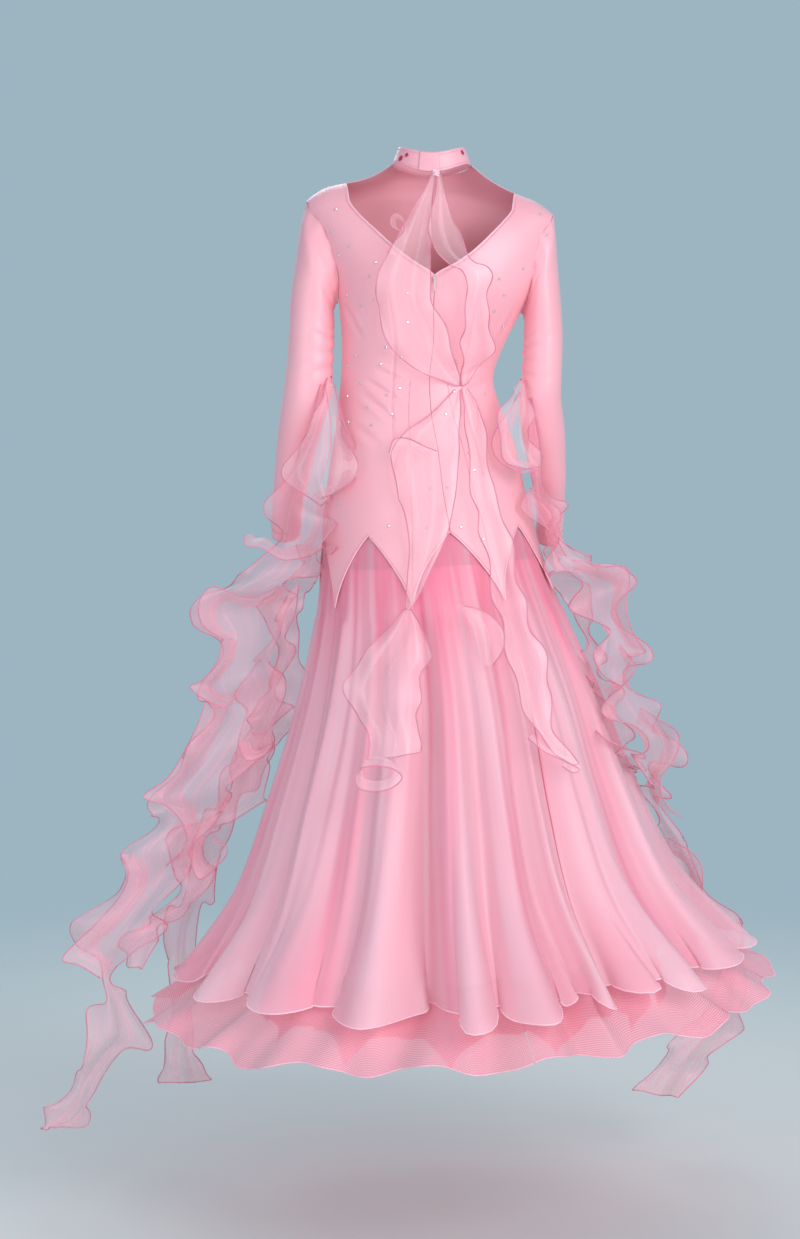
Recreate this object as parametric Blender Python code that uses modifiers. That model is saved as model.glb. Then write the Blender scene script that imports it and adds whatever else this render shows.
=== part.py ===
import math
from collections import namedtuple

import bpy
from mathutils import Vector

# Cloth walls and the clearances between pieces
LYCRA_WALL = 0.0015
ORGANZA_WALL = 0.0012
BRAID_WALL = 0.0012
TULLE_WALL = 0.0012
SEAM_GAP = 0.0003
SHOULDER_GAP = 0.0006
ARMHOLE_GAP = 0.0008
UNDERARM_GAP = 0.0035
YOKE_GAP = 0.0012

# Hip yoke: eight pointed arches, each with a tongue on either side
ARCH_COUNT = 8
ARCH_TOP_HEIGHT = -0.510
TONGUE_TIP_HEIGHT = -0.622
YOKE_LINE_HEIGHT = -0.470
ARCH_POINT = 1.5

# Fineness of the faceted walls
BODY_COLUMNS = 48
SKIRT_COLUMNS = 96
NET_COLUMNS = 48
COLLAR_COLUMNS = 32
SLEEVE_COLUMNS = 24
STRIP_COLUMNS = 4

# Body form: inner face of the bodice, a row per height
Section = namedtuple("Section", "height half_width back front centre_x tilt twist dip")
BODY = [
    Section(-0.500, 0.1570, 0.1195, 0.1135, 0.0040, -0.060, -11.2, 0.000),
    Section(-0.450, 0.1475, 0.1110, 0.1050, 0.0080, -0.050, -10.0, 0.000),
    Section(-0.390, 0.1365, 0.0980, 0.1010, 0.0100, -0.030, -8.5, 0.000),
    Section(-0.335, 0.1225, 0.0845, 0.0975, 0.0155, -0.010, -7.5, 0.000),
    Section(-0.285, 0.1130, 0.0770, 0.0970, 0.0195, 0.010, -9.0, 0.000),
    Section(-0.2325, 0.1205, 0.0870, 0.1120, 0.0110, 0.035, -7.0, 0.000),
    Section(-0.182, 0.1340, 0.0975, 0.1240, 0.0010, 0.055, -2.0, 0.000),
    Section(-0.145, 0.1460, 0.0990, 0.1170, -0.0055, 0.065, 0.0, 0.000),
    Section(-0.110, 0.1620, 0.0945, 0.1030, -0.0040, 0.065, 0.0, 0.000),
    Section(-0.075, 0.1740, 0.0855, 0.0900, -0.0020, 0.065, 0.0, 0.000),
    Section(-0.045, 0.1810, 0.0720, 0.0800, 0.0000, 0.065, 0.0, 0.000),
    Section(-0.021, 0.1825, 0.0540, 0.0730, 0.0000, 0.065, 0.0, 0.000),
    Section(-0.006, 0.1610, 0.0400, 0.0700, 0.0000, 0.065, 0.0, 0.000),
    Section(0.006, 0.1250, 0.0300, 0.0660, 0.0000, 0.060, 0.0, 0.000),
    Section(0.018, 0.0860, 0.0450, 0.0620, -0.0010, 0.030, 0.0, 0.000),
    Section(0.032, 0.0575, 0.0575, 0.0575, -0.0020, 0.000, 0.0, 0.000),
]

# Skirt form: outer face of the top organza skirt, a row per height
SKIRT = [
    Section(-0.500, 0.1545, 0.1170, 0.1110, 0.0040, -0.060, -11.2, 0.000),
    Section(-0.560, 0.1650, 0.1290, 0.1260, -0.0015, -0.060, -11.2, 0.000),
    Section(-0.650, 0.1890, 0.1560, 0.1560, -0.0140, -0.060, -11.2, 0.000),
    Section(-0.765, 0.2270, 0.1960, 0.1960, -0.0270, -0.060, -11.2, 0.000),
    Section(-0.900, 0.2740, 0.2440, 0.2440, -0.0320, -0.060, -11.2, 0.004),
    Section(-1.040, 0.3330, 0.3020, 0.3020, -0.0400, -0.060, -11.2, 0.010),
    Section(-1.153, 0.4150, 0.3780, 0.3780, -0.0530, -0.060, -11.2, 0.016),
]

# Depth of the folds as a part of the radius, a row per skirt height
Fold = namedtuple("Fold", "height depth")
FOLDS = [
    Fold(-0.500, 0.000),
    Fold(-0.560, 0.003),
    Fold(-0.650, 0.050),
    Fold(-0.765, 0.100),
    Fold(-0.900, 0.145),
    Fold(-1.040, 0.175),
    Fold(-1.153, 0.200),
]

# Folds of the skirt round the body, in degrees from the centre back
Valley = namedtuple("Valley", "angle half_width depth")
VALLEYS = [
    Valley(3.75, 8.0, 0.55),
    Valley(22.5, 9.5, 1.00),
    Valley(41.25, 9.0, 0.35),
    Valley(67.5, 10.0, 0.45),
    Valley(86.25, 9.0, 0.30),
    Valley(112.5, 10.0, 0.60),
    Valley(135.0, 9.5, 0.70),
    Valley(157.5, 10.0, 0.80),
    Valley(180.0, 9.5, 0.60),
    Valley(202.5, 10.0, 0.90),
    Valley(225.0, 9.5, 0.60),
    Valley(247.5, 10.0, 0.80),
    Valley(270.0, 9.5, 0.60),
    Valley(292.5, 10.0, 0.50),
    Valley(315.0, 9.0, 0.35),
    Valley(337.5, 8.5, 0.90),
    Valley(348.75, 7.5, 0.70),
]


def value_at(table, height, column):
    """Smooth curve through one column of a table that is sorted by height."""
    rows = sorted(table, key=lambda row: row.height)
    heights = [row.height for row in rows]
    values = [getattr(row, column) for row in rows]
    if height <= heights[0]:
        return values[0]
    if height >= heights[-1]:
        return values[-1]
    slopes = []
    for i in range(len(rows)):
        low = max(i - 1, 0)
        high = min(i + 1, len(rows) - 1)
        slopes.append((values[high] - values[low]) / (heights[high] - heights[low]))
    i = max(k for k in range(len(rows) - 1) if heights[k] <= height)
    span = heights[i + 1] - heights[i]
    t = (height - heights[i]) / span
    return (
        (2 * t**3 - 3 * t**2 + 1) * values[i]
        + (t**3 - 2 * t**2 + t) * span * slopes[i]
        + (3 * t**2 - 2 * t**3) * values[i + 1]
        + (t**3 - t**2) * span * slopes[i + 1]
    )


def form_point(table, angle, height, grow=0.0, scale=1.0):
    """Point of a form, at degrees from the centre back towards the wearer's left."""
    turn = math.radians(angle + value_at(table, height, "twist"))
    depth = value_at(table, height, "back" if math.cos(turn) >= 0 else "front")
    half_width = value_at(table, height, "half_width")
    x = value_at(table, height, "centre_x") + (half_width * scale + grow) * math.sin(turn)
    y = (depth * scale + grow) * math.cos(turn)
    z = height + value_at(table, height, "tilt") * x
    z -= value_at(table, height, "dip") * math.cos(turn)
    return Vector((x, y, z))


def fold_at(angle):
    """How deep the skirt's folds are at an angle, from 0 on a crest to 1."""
    deepest = 0.0
    for valley in VALLEYS:
        away = abs((angle - valley.angle + 180.0) % 360.0 - 180.0)
        if away < valley.half_width:
            bump = 0.5 + 0.5 * math.cos(math.pi * away / valley.half_width)
            deepest = max(deepest, valley.depth * bump)
    return deepest


def skirt_point(angle, height, inset=0.0):
    """Point of the folded top skirt, moved in by an inset."""
    depth = value_at(FOLDS, height, "depth") * fold_at(angle)
    return form_point(SKIRT, angle, height, grow=-inset, scale=1.0 - depth)


def yoke_point(angle, height):
    """Point of the bodice's inner face, which lies over the skirt below the hip."""
    if height >= BODY[0].height:
        return form_point(BODY, angle, height)
    over = form_point(SKIRT, angle, height, grow=YOKE_GAP)
    join = form_point(BODY, angle, BODY[0].height)
    skirt_join = form_point(SKIRT, angle, BODY[0].height, grow=YOKE_GAP)
    fade = max(0.0, 1.0 - (BODY[0].height - height) / 0.03)
    return over + (join - skirt_join) * fade


# Bodice rows above the hip line, from the inner edge to the outer edge of each panel
PanelRow = namedtuple("PanelRow", "inner_angle inner_height outer_angle outer_height")
BACK_ROWS = [
    PanelRow(0.0, -0.470, 90.0, -0.470),
    PanelRow(0.0, -0.420, 90.0, -0.420),
    PanelRow(0.0, -0.370, 90.0, -0.370),
    PanelRow(0.0, -0.325, 90.0, -0.325),
    PanelRow(0.0, -0.280, 90.0, -0.280),
    PanelRow(0.0, -0.235, 90.0, -0.235),
    PanelRow(0.0, -0.190, 90.0, -0.204),
    PanelRow(0.0, -0.158, 90.0, -0.182),
    PanelRow(0.0, -0.1365, 76.0, -0.152),
    PanelRow(12.5, -0.114, 68.0, -0.125),
    PanelRow(22.5, -0.090, 64.0, -0.095),
    PanelRow(34.0, -0.050, 65.0, -0.060),
    PanelRow(41.0, -0.021, 75.0, -0.036),
    PanelRow(90.0, 0.006, 90.0, -0.021),
]

# The front closes up to the collar: half of it, from the side to the centre front
FRONT_ROWS = [
    PanelRow(90.0, -0.470, 180.0, -0.470),
    PanelRow(90.0, -0.420, 180.0, -0.420),
    PanelRow(90.0, -0.370, 180.0, -0.370),
    PanelRow(90.0, -0.325, 180.0, -0.325),
    PanelRow(90.0, -0.280, 180.0, -0.280),
    PanelRow(90.0, -0.235, 180.0, -0.235),
    PanelRow(90.0, -0.204, 180.0, -0.190),
    PanelRow(90.0, -0.182, 180.0, -0.158),
    PanelRow(104.0, -0.152, 180.0, -0.125),
    PanelRow(112.0, -0.125, 180.0, -0.100),
    PanelRow(116.0, -0.095, 180.0, -0.072),
    PanelRow(115.0, -0.060, 180.0, -0.045),
    PanelRow(105.0, -0.036, 180.0, -0.026),
    PanelRow(90.0, -0.021, 180.0, -0.012),
    PanelRow(90.0, 0.006, 180.0, 0.006),
    PanelRow(90.0, 0.018, 180.0, 0.012),
    PanelRow(90.0, 0.0325, 180.0, 0.0190),
]
ARMHOLE_FIRST = 7

# Sleeves: outer and inner line of the arm, its depth and the ring's lean, a row per ring
Ring = namedtuple("Ring", "outer_x outer_z inner_x inner_z centre_y half_depth lean")
LEFT_SLEEVE = [
    Ring(0.1890, -0.045, 0.1430, -0.186, 0.000, 0.0440, 0.0),
    Ring(0.1940, -0.105, 0.1425, -0.202, 0.002, 0.0430, 0.0),
    Ring(0.2020, -0.160, 0.1420, -0.220, 0.006, 0.0400, 0.0),
    Ring(0.2075, -0.215, 0.1420, -0.243, 0.010, 0.0380, 0.0),
    Ring(0.2150, -0.268, 0.1440, -0.280, 0.013, 0.0370, 0.0),
    Ring(0.2210, -0.315, 0.1480, -0.318, 0.010, 0.0360, 8.0),
    Ring(0.2290, -0.365, 0.1630, -0.365, -0.012, 0.0330, 22.0),
    Ring(0.2365, -0.430, 0.1800, -0.428, -0.048, 0.0280, 34.0),
    Ring(0.2420, -0.485, 0.1930, -0.482, -0.085, 0.0245, 38.0),
    Ring(0.2445, -0.525, 0.1985, -0.522, -0.116, 0.0225, 38.0),
]
RIGHT_SLEEVE = [
    Ring(-0.1860, -0.062, -0.1400, -0.203, 0.000, 0.0440, 0.0),
    Ring(-0.1895, -0.115, -0.1390, -0.218, 0.002, 0.0430, 0.0),
    Ring(-0.1940, -0.165, -0.1375, -0.234, 0.006, 0.0400, 0.0),
    Ring(-0.1975, -0.220, -0.1360, -0.256, 0.010, 0.0370, 0.0),
    Ring(-0.1965, -0.275, -0.1340, -0.290, 0.013, 0.0345, 0.0),
    Ring(-0.1960, -0.315, -0.1325, -0.320, 0.010, 0.0345, 8.0),
    Ring(-0.2030, -0.365, -0.1370, -0.370, -0.012, 0.0330, 22.0),
    Ring(-0.2070, -0.430, -0.1520, -0.430, -0.048, 0.0280, 34.0),
    Ring(-0.2070, -0.485, -0.1630, -0.487, -0.085, 0.0245, 38.0),
    Ring(-0.2060, -0.530, -0.1640, -0.530, -0.116, 0.0225, 38.0),
]

# Collar: lower and upper edge of the neck band at its side, centre back and centre front
CollarEdge = namedtuple("CollarEdge", "half_width half_depth side back front")
COLLAR_LOWER = CollarEdge(0.0570, 0.0570, 0.0345, 0.0160, 0.0205)
COLLAR_MIDDLE = CollarEdge(0.0525, 0.0535, 0.0450, 0.0300, 0.0330)
COLLAR_UPPER = CollarEdge(0.0485, 0.0500, 0.0555, 0.0440, 0.0460)
COLLAR_CENTRE_X = -0.0020

# Layers under the top skirt: inset from it at each height
Layer = namedtuple("Layer", "height inset")
MIDDLE_LAYER = [
    Layer(-0.560, 0.0022),
    Layer(-0.650, 0.0070),
    Layer(-0.900, 0.0150),
    Layer(-1.040, 0.0180),
    Layer(-1.125, 0.0220),
]
TULLE_LAYER = [
    Layer(-0.560, 0.0042),
    Layer(-0.650, 0.0240),
    Layer(-0.765, 0.0450),
    Layer(-0.900, 0.0650),
    Layer(-1.040, 0.0900),
    Layer(-1.125, 0.1150),
]
TULLE_POINT = 0.045

# Stiff braid at the hem, a row per height, with its own shallow waves
Braid = namedtuple("Braid", "height half_width depth centre_x dip wave")
BRAID_ROWS = [
    Braid(-1.163, 0.4010, 0.3640, -0.0490, 0.017, 1.00),
    Braid(-1.212, 0.4720, 0.4240, -0.0450, 0.022, 0.35),
]
BRAID_WAVES = 9
BRAID_WAVE_DEPTH = 0.020

# Floats: both edges of the ribbon in metres and how far its middle stands out, a row per step
Strip = namedtuple("Strip", "left_x left_y left_z right_x right_y right_z bulge")
SLEEVE_FLOAT_LEFT_UPPER = [
    Strip(0.1525, 0.0365, -0.2850, 0.1470, 0.0295, -0.2850, 0.0000),
    Strip(0.1560, 0.0495, -0.3010, 0.1420, 0.0440, -0.3025, 0.0010),
    Strip(0.162, 0.056, -0.322, 0.137, 0.054, -0.326, 0.003),
    Strip(0.180, 0.052, -0.362, 0.126, 0.080, -0.361, 0.008),
    Strip(0.200, 0.036, -0.401, 0.108, 0.098, -0.390, 0.010),
    Strip(0.213, 0.032, -0.429, 0.105, 0.102, -0.416, 0.010),
    Strip(0.194, 0.036, -0.452, 0.115, 0.098, -0.437, 0.006),
    Strip(0.160, 0.054, -0.473, 0.142, 0.074, -0.456, 0.002),
]

SLEEVE_FLOAT_LEFT_LONG = [
    Strip(0.1615, 0.0450, -0.2940, 0.1555, 0.0390, -0.2940, 0.0000),
    Strip(0.1680, 0.0480, -0.3175, 0.1520, 0.0465, -0.3205, 0.0000),
    Strip(0.177, 0.041, -0.352, 0.147, 0.043, -0.355, 0.001),
    Strip(0.200, 0.018, -0.397, 0.150, 0.038, -0.404, 0.001),
    Strip(0.216, 0.000, -0.441, 0.158, 0.040, -0.481, 0.004),
    Strip(0.232, -0.010, -0.483, 0.147, 0.066, -0.497, 0.010),
    Strip(0.253, -0.020, -0.534, 0.148, 0.066, -0.533, -0.014),
    Strip(0.282, -0.030, -0.580, 0.167, 0.040, -0.570, 0.016),
    Strip(0.349, -0.050, -0.616, 0.194, 0.020, -0.587, 0.022),
    Strip(0.354, -0.040, -0.652, 0.219, 0.010, -0.614, -0.016),
    Strip(0.328, -0.020, -0.686, 0.225, 0.000, -0.663, -0.018),
    Strip(0.360, -0.045, -0.749, 0.215, 0.030, -0.714, 0.020),
    Strip(0.331, -0.020, -0.785, 0.221, 0.020, -0.780, -0.016),
    Strip(0.373, -0.010, -0.847, 0.251, 0.020, -0.849, 0.016),
    Strip(0.434, -0.035, -0.916, 0.284, 0.020, -0.906, 0.020),
    Strip(0.406, -0.010, -0.944, 0.324, 0.000, -0.954, -0.012),
    Strip(0.470, -0.030, -1.000, 0.356, 0.010, -0.991, 0.016),
    Strip(0.463, -0.010, -1.037, 0.371, 0.010, -1.042, -0.010),
    Strip(0.509, -0.020, -1.091, 0.403, 0.020, -1.098, 0.016),
    Strip(0.554, -0.040, -1.158, 0.435, 0.030, -1.137, 0.010),
    Strip(0.517, -0.010, -1.178, 0.467, 0.010, -1.168, -0.006),
    Strip(0.499, 0.000, -1.197, 0.484, 0.006, -1.196, 0.000),
    Strip(0.503, 0.010, -1.231, 0.457, -0.010, -1.229, 0.008),
    Strip(0.514, 0.020, -1.270, 0.427, -0.030, -1.298, 0.012),
    Strip(0.527, 0.010, -1.311, 0.463, -0.010, -1.320, -0.010),
    Strip(0.546, 0.000, -1.359, 0.507, 0.000, -1.359, 0.006),
    Strip(0.575, -0.015, -1.405, 0.517, 0.015, -1.400, 0.006),
    Strip(0.604, -0.005, -1.429, 0.572, 0.010, -1.427, 0.004),
]

SLEEVE_FLOAT_LEFT_SHORT = [
    Strip(0.2140, 0.0110, -0.6115, 0.1960, 0.0200, -0.5900, 0.0000),
    Strip(0.2320, -0.0180, -0.6465, 0.2040, 0.0000, -0.6420, 0.0030),
    Strip(0.249, -0.060, -0.689, 0.214, -0.024, -0.696, 0.008),
    Strip(0.285, -0.110, -0.753, 0.222, -0.060, -0.772, -0.012),
    Strip(0.298, -0.120, -0.817, 0.244, -0.090, -0.840, 0.012),
    Strip(0.293, -0.140, -0.863, 0.249, -0.120, -0.878, -0.010),
    Strip(0.332, -0.120, -0.928, 0.285, -0.150, -0.942, 0.012),
    Strip(0.369, -0.150, -1.004, 0.325, -0.150, -1.035, -0.012),
    Strip(0.379, -0.160, -1.065, 0.339, -0.170, -1.085, 0.010),
    Strip(0.414, -0.170, -1.139, 0.365, -0.190, -1.171, -0.012),
    Strip(0.416, -0.200, -1.222, 0.377, -0.215, -1.241, 0.010),
    Strip(0.415, -0.225, -1.315, 0.376, -0.240, -1.328, -0.008),
    Strip(0.422, -0.230, -1.363, 0.379, -0.240, -1.363, 0.010),
    Strip(0.439, -0.220, -1.405, 0.363, -0.240, -1.398, -0.006),
    Strip(0.437, -0.215, -1.419, 0.353, -0.235, -1.419, 0.004),
]

SLEEVE_FLOAT_RIGHT_UPPER = [
    Strip(-0.1395, 0.0345, -0.2880, -0.1335, 0.0235, -0.2880, 0.0000),
    Strip(-0.1410, 0.0470, -0.3010, -0.1255, 0.0500, -0.2985, 0.0010),
    Strip(-0.143, 0.054, -0.320, -0.114, 0.080, -0.308, 0.006),
    Strip(-0.143, 0.052, -0.353, -0.098, 0.108, -0.335, 0.010),
    Strip(-0.146, 0.050, -0.380, -0.090, 0.118, -0.369, 0.012),
    Strip(-0.155, 0.046, -0.401, -0.102, 0.114, -0.402, 0.008),
    Strip(-0.165, 0.038, -0.416, -0.131, 0.088, -0.420, 0.004),
]

SLEEVE_FLOAT_RIGHT_LONG = [
    Strip(-0.1495, 0.0430, -0.3145, -0.1445, 0.0400, -0.3145, 0.0000),
    Strip(-0.1570, 0.0360, -0.3520, -0.1460, 0.0380, -0.3565, 0.0010),
    Strip(-0.164, 0.026, -0.389, -0.146, 0.034, -0.397, 0.001),
    Strip(-0.169, 0.018, -0.425, -0.147, 0.038, -0.428, 0.003),
    Strip(-0.172, 0.014, -0.461, -0.147, 0.070, -0.462, 0.010),
    Strip(-0.197, -0.004, -0.483, -0.159, 0.060, -0.501, 0.012),
    Strip(-0.204, 0.000, -0.525, -0.177, 0.045, -0.531, -0.008),
    Strip(-0.226, -0.010, -0.557, -0.182, 0.050, -0.557, 0.010),
    Strip(-0.284, -0.040, -0.567, -0.202, 0.030, -0.580, 0.018),
    Strip(-0.303, -0.050, -0.598, -0.224, 0.020, -0.616, -0.018),
    Strip(-0.298, -0.030, -0.636, -0.238, 0.030, -0.651, 0.012),
    Strip(-0.327, -0.050, -0.698, -0.251, 0.060, -0.684, 0.016),
    Strip(-0.310, -0.030, -0.729, -0.254, 0.080, -0.729, -0.014),
    Strip(-0.332, -0.040, -0.785, -0.271, 0.100, -0.762, 0.012),
    Strip(-0.378, -0.060, -0.827, -0.284, 0.120, -0.803, 0.018),
    Strip(-0.374, -0.060, -0.861, -0.310, 0.090, -0.848, -0.012),
    Strip(-0.356, -0.080, -0.902, -0.327, 0.000, -0.898, 0.004),
    Strip(-0.369, -0.110, -0.960, -0.346, -0.090, -0.960, 0.006),
    Strip(-0.408, -0.140, -1.018, -0.370, -0.130, -1.013, 0.014),
    Strip(-0.427, -0.160, -1.074, -0.397, -0.150, -1.069, -0.006),
    Strip(-0.447, -0.180, -1.109, -0.406, -0.176, -1.121, 0.004),
    Strip(-0.495, -0.190, -1.141, -0.445, -0.190, -1.158, 0.012),
    Strip(-0.510, -0.210, -1.188, -0.465, -0.230, -1.208, -0.012),
    Strip(-0.508, -0.240, -1.286, -0.459, -0.260, -1.294, 0.010),
    Strip(-0.508, -0.230, -1.332, -0.419, -0.270, -1.341, -0.014),
    Strip(-0.458, -0.250, -1.381, -0.378, -0.280, -1.386, 0.012),
    Strip(-0.436, -0.250, -1.416, -0.358, -0.270, -1.415, -0.008),
    Strip(-0.419, -0.240, -1.447, -0.338, -0.260, -1.440, 0.006),
]

COLLAR_FLOAT_LEFT = [
    Strip(-0.0040, 0.0590, 0.0160, -0.0080, 0.0590, 0.0160, 0.0000),
    Strip(0.0140, 0.0730, -0.0200, -0.0030, 0.0720, -0.0195, 0.0020),
    Strip(0.037, 0.089, -0.059, -0.001, 0.086, -0.056, 0.004),
    Strip(0.057, 0.098, -0.095, 0.000, 0.098, -0.095, 0.005),
    Strip(0.077, 0.105, -0.134, -0.001, 0.109, -0.133, 0.005),
    Strip(0.076, 0.090, -0.173, -0.001, 0.110, -0.171, 0.006),
    Strip(0.071, 0.087, -0.211, -0.021, 0.103, -0.207, 0.006),
    Strip(0.057, 0.087, -0.244, -0.031, 0.092, -0.241, 0.005),
    Strip(0.021, 0.087, -0.272, -0.039, 0.077, -0.272, 0.003),
    Strip(-0.035, 0.073, -0.296, -0.043, 0.070, -0.296, 0.000),
]

COLLAR_FLOAT_RIGHT = [
    Strip(-0.0095, 0.0585, 0.0160, -0.0135, 0.0585, 0.0160, 0.0000),
    Strip(-0.0060, 0.0775, -0.0200, -0.0225, 0.0755, -0.0245, 0.0020),
    Strip(0.005, 0.099, -0.068, -0.036, 0.089, -0.068, 0.004),
    Strip(-0.002, 0.113, -0.101, -0.051, 0.102, -0.103, 0.005),
    Strip(-0.028, 0.117, -0.122, -0.065, 0.109, -0.120, 0.005),
    Strip(-0.048, 0.120, -0.136, -0.088, 0.113, -0.135, 0.006),
    Strip(-0.050, 0.115, -0.168, -0.080, 0.099, -0.168, 0.005),
    Strip(-0.045, 0.107, -0.206, -0.084, 0.083, -0.205, 0.006),
    Strip(-0.043, 0.094, -0.244, -0.089, 0.058, -0.241, 0.006),
    Strip(-0.043, 0.077, -0.273, -0.067, 0.061, -0.272, 0.003),
    Strip(-0.045, 0.069, -0.296, -0.052, 0.065, -0.295, 0.000),
]

WAIST_FLOAT_LEFT = [
    Strip(-0.0360, 0.0735, -0.3020, -0.0435, 0.0705, -0.3020, 0.0000),
    Strip(-0.0020, 0.0910, -0.3360, -0.0430, 0.0825, -0.3320, 0.0040),
    Strip(0.041, 0.100, -0.370, -0.041, 0.097, -0.367, 0.005),
    Strip(0.060, 0.101, -0.398, -0.041, 0.109, -0.405, 0.006),
    Strip(0.051, 0.112, -0.439, -0.039, 0.119, -0.445, 0.006),
    Strip(0.039, 0.122, -0.481, -0.030, 0.130, -0.491, 0.006),
    Strip(0.033, 0.131, -0.524, -0.014, 0.140, -0.534, 0.005),
    Strip(0.033, 0.141, -0.577, 0.007, 0.147, -0.581, 0.003),
    Strip(0.037, 0.145, -0.619, 0.029, 0.146, -0.619, 0.000),
]

WAIST_FLOAT_RIGHT = [
    Strip(-0.0455, 0.0700, -0.3020, -0.0540, 0.0655, -0.3010, 0.0000),
    Strip(-0.0475, 0.0785, -0.3350, -0.0700, 0.0635, -0.3290, 0.0030),
    Strip(-0.050, 0.101, -0.373, -0.077, 0.076, -0.364, 0.003),
    Strip(-0.053, 0.115, -0.416, -0.084, 0.091, -0.414, 0.005),
    Strip(-0.060, 0.123, -0.462, -0.092, 0.099, -0.460, 0.006),
    Strip(-0.068, 0.129, -0.505, -0.113, 0.099, -0.513, 0.007),
    Strip(-0.080, 0.136, -0.554, -0.121, 0.106, -0.557, 0.008),
    Strip(-0.088, 0.149, -0.603, -0.131, 0.121, -0.605, 0.009),
    Strip(-0.099, 0.163, -0.647, -0.146, 0.133, -0.653, 0.010),
    Strip(-0.110, 0.182, -0.697, -0.166, 0.141, -0.696, 0.010),
    Strip(-0.126, 0.197, -0.747, -0.169, 0.165, -0.745, 0.010),
    Strip(-0.143, 0.202, -0.783, -0.171, 0.181, -0.783, 0.008),
    Strip(-0.172, 0.198, -0.818, -0.187, 0.180, -0.809, 0.004),
    Strip(-0.201, 0.184, -0.842, -0.213, 0.174, -0.842, 0.001),
]

HIP_FLOAT = [
    Strip(0.0370, 0.1450, -0.6200, 0.0290, 0.1465, -0.6195, 0.0000),
    Strip(0.0625, 0.1535, -0.6515, 0.0105, 0.1685, -0.6470, 0.0040),
    Strip(0.090, 0.155, -0.683, 0.002, 0.185, -0.671, 0.008),
    Strip(0.114, 0.149, -0.707, 0.006, 0.200, -0.707, 0.010),
    Strip(0.121, 0.156, -0.738, 0.011, 0.213, -0.740, 0.012),
    Strip(0.105, 0.182, -0.772, 0.017, 0.224, -0.769, 0.010),
    Strip(0.086, 0.204, -0.797, 0.015, 0.235, -0.799, 0.008),
    Strip(0.092, 0.215, -0.830, 0.011, 0.239, -0.817, 0.006),
]


# Zip at the centre back
SLIDER_SIZE = (0.0050, 0.0028, 0.0090)
SLIDER_HEIGHT = -0.1420
SLIDER_BEVEL = 0.0006
EAR_SIZE = (0.0009, 0.0042, 0.0030)
EAR_OUT = 0.0039
PIN_RADIUS = 0.0005
PIN_HEIGHT = -0.1395
PIN_OUT = 0.0047
PULL_SIZE = (0.0026, 0.0009, 0.0210)
PULL_EYE_RADIUS = 0.0008
PULL_BEVEL = 0.0003
ROUND_STEPS = 12

# name: colour, roughness, metallic, alpha
MATERIALS = {
    "lycra": ((0.93, 0.52, 0.60, 1.0), 0.42, 0.0, 1.0),
    "organza": ((0.95, 0.60, 0.68, 1.0), 0.50, 0.0, 0.6),
    "braid": ((0.95, 0.66, 0.72, 1.0), 0.45, 0.0, 0.7),
    "tulle": ((0.93, 0.50, 0.60, 1.0), 0.70, 0.0, 0.6),
    "zip_metal": ((0.88, 0.80, 0.82, 1.0), 0.30, 0.8, 1.0),
}


def start_empty():
    for old in list(bpy.data.objects):
        bpy.data.objects.remove(old, do_unlink=True)
    group = bpy.data.collections.new("ballroom_dress")
    bpy.context.scene.collection.children.link(group)
    return group


def make_material(slot):
    colour, roughness, metallic, alpha = MATERIALS[slot]
    material = bpy.data.materials.new(slot)
    material.use_nodes = True
    surface = material.node_tree.nodes["Principled BSDF"]
    surface.inputs["Base Color"].default_value = colour
    surface.inputs["Roughness"].default_value = roughness
    surface.inputs["Metallic"].default_value = metallic
    surface.inputs["Alpha"].default_value = alpha
    return material


def add_mesh(name, points, faces, slot):
    mesh = bpy.data.meshes.new(name)
    mesh.from_pydata([tuple(p) for p in points], [], faces)
    mesh.update()
    obj = bpy.data.objects.new(name, mesh)
    GROUP.objects.link(obj)
    mesh.materials.append(SLOTS[slot])
    for polygon in mesh.polygons:
        polygon.use_smooth = True
    return obj


def add_wall(obj, wall, side):
    """Give an open surface its cloth wall, to the side its normals point or away."""
    solid = obj.modifiers.new("wall", "SOLIDIFY")
    solid.thickness = wall
    solid.offset = side
    solid.use_even_offset = False
    solid.use_rim = True
    return obj


def add_grid(name, rows, wall, side, slot, closed=False, flip=False):
    """Sheet through rows of points, all as long, with a wall."""
    count = len(rows[0])
    points = [p for row in rows for p in row]
    faces = []
    for j in range(len(rows) - 1):
        for i in range(count if closed else count - 1):
            a = j * count + i
            b = j * count + (i + 1) % count
            face = (a, b, b + count, a + count)
            faces.append(tuple(reversed(face)) if flip else face)
    return add_wall(add_mesh(name, points, faces, slot), wall, side)


def yoke_edge(angle):
    """Height of the hip yoke's edge: an arch's top at 0, a tongue's tip half way on."""
    step = 360.0 / ARCH_COUNT
    away = abs((angle + step / 2) % step - step / 2) / (step / 2)
    return ARCH_TOP_HEIGHT + (TONGUE_TIP_HEIGHT - ARCH_TOP_HEIGHT) * away**ARCH_POINT


def yoke_rows(angles):
    """Rows of the yoke from its edge up to just under the hip line."""
    rows = []
    for part in (0.0, 0.34, 0.67):
        row = []
        for angle in angles:
            edge = yoke_edge(angle)
            row.append(yoke_point(angle, edge + (YOKE_LINE_HEIGHT - edge) * part))
        rows.append(row)
    return rows


def panel_gap(angle, height):
    """Degrees that stand for half a seam's clearance at a height."""
    return math.degrees(SEAM_GAP / 2 / value_at(BODY, height, "half_width"))


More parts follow.
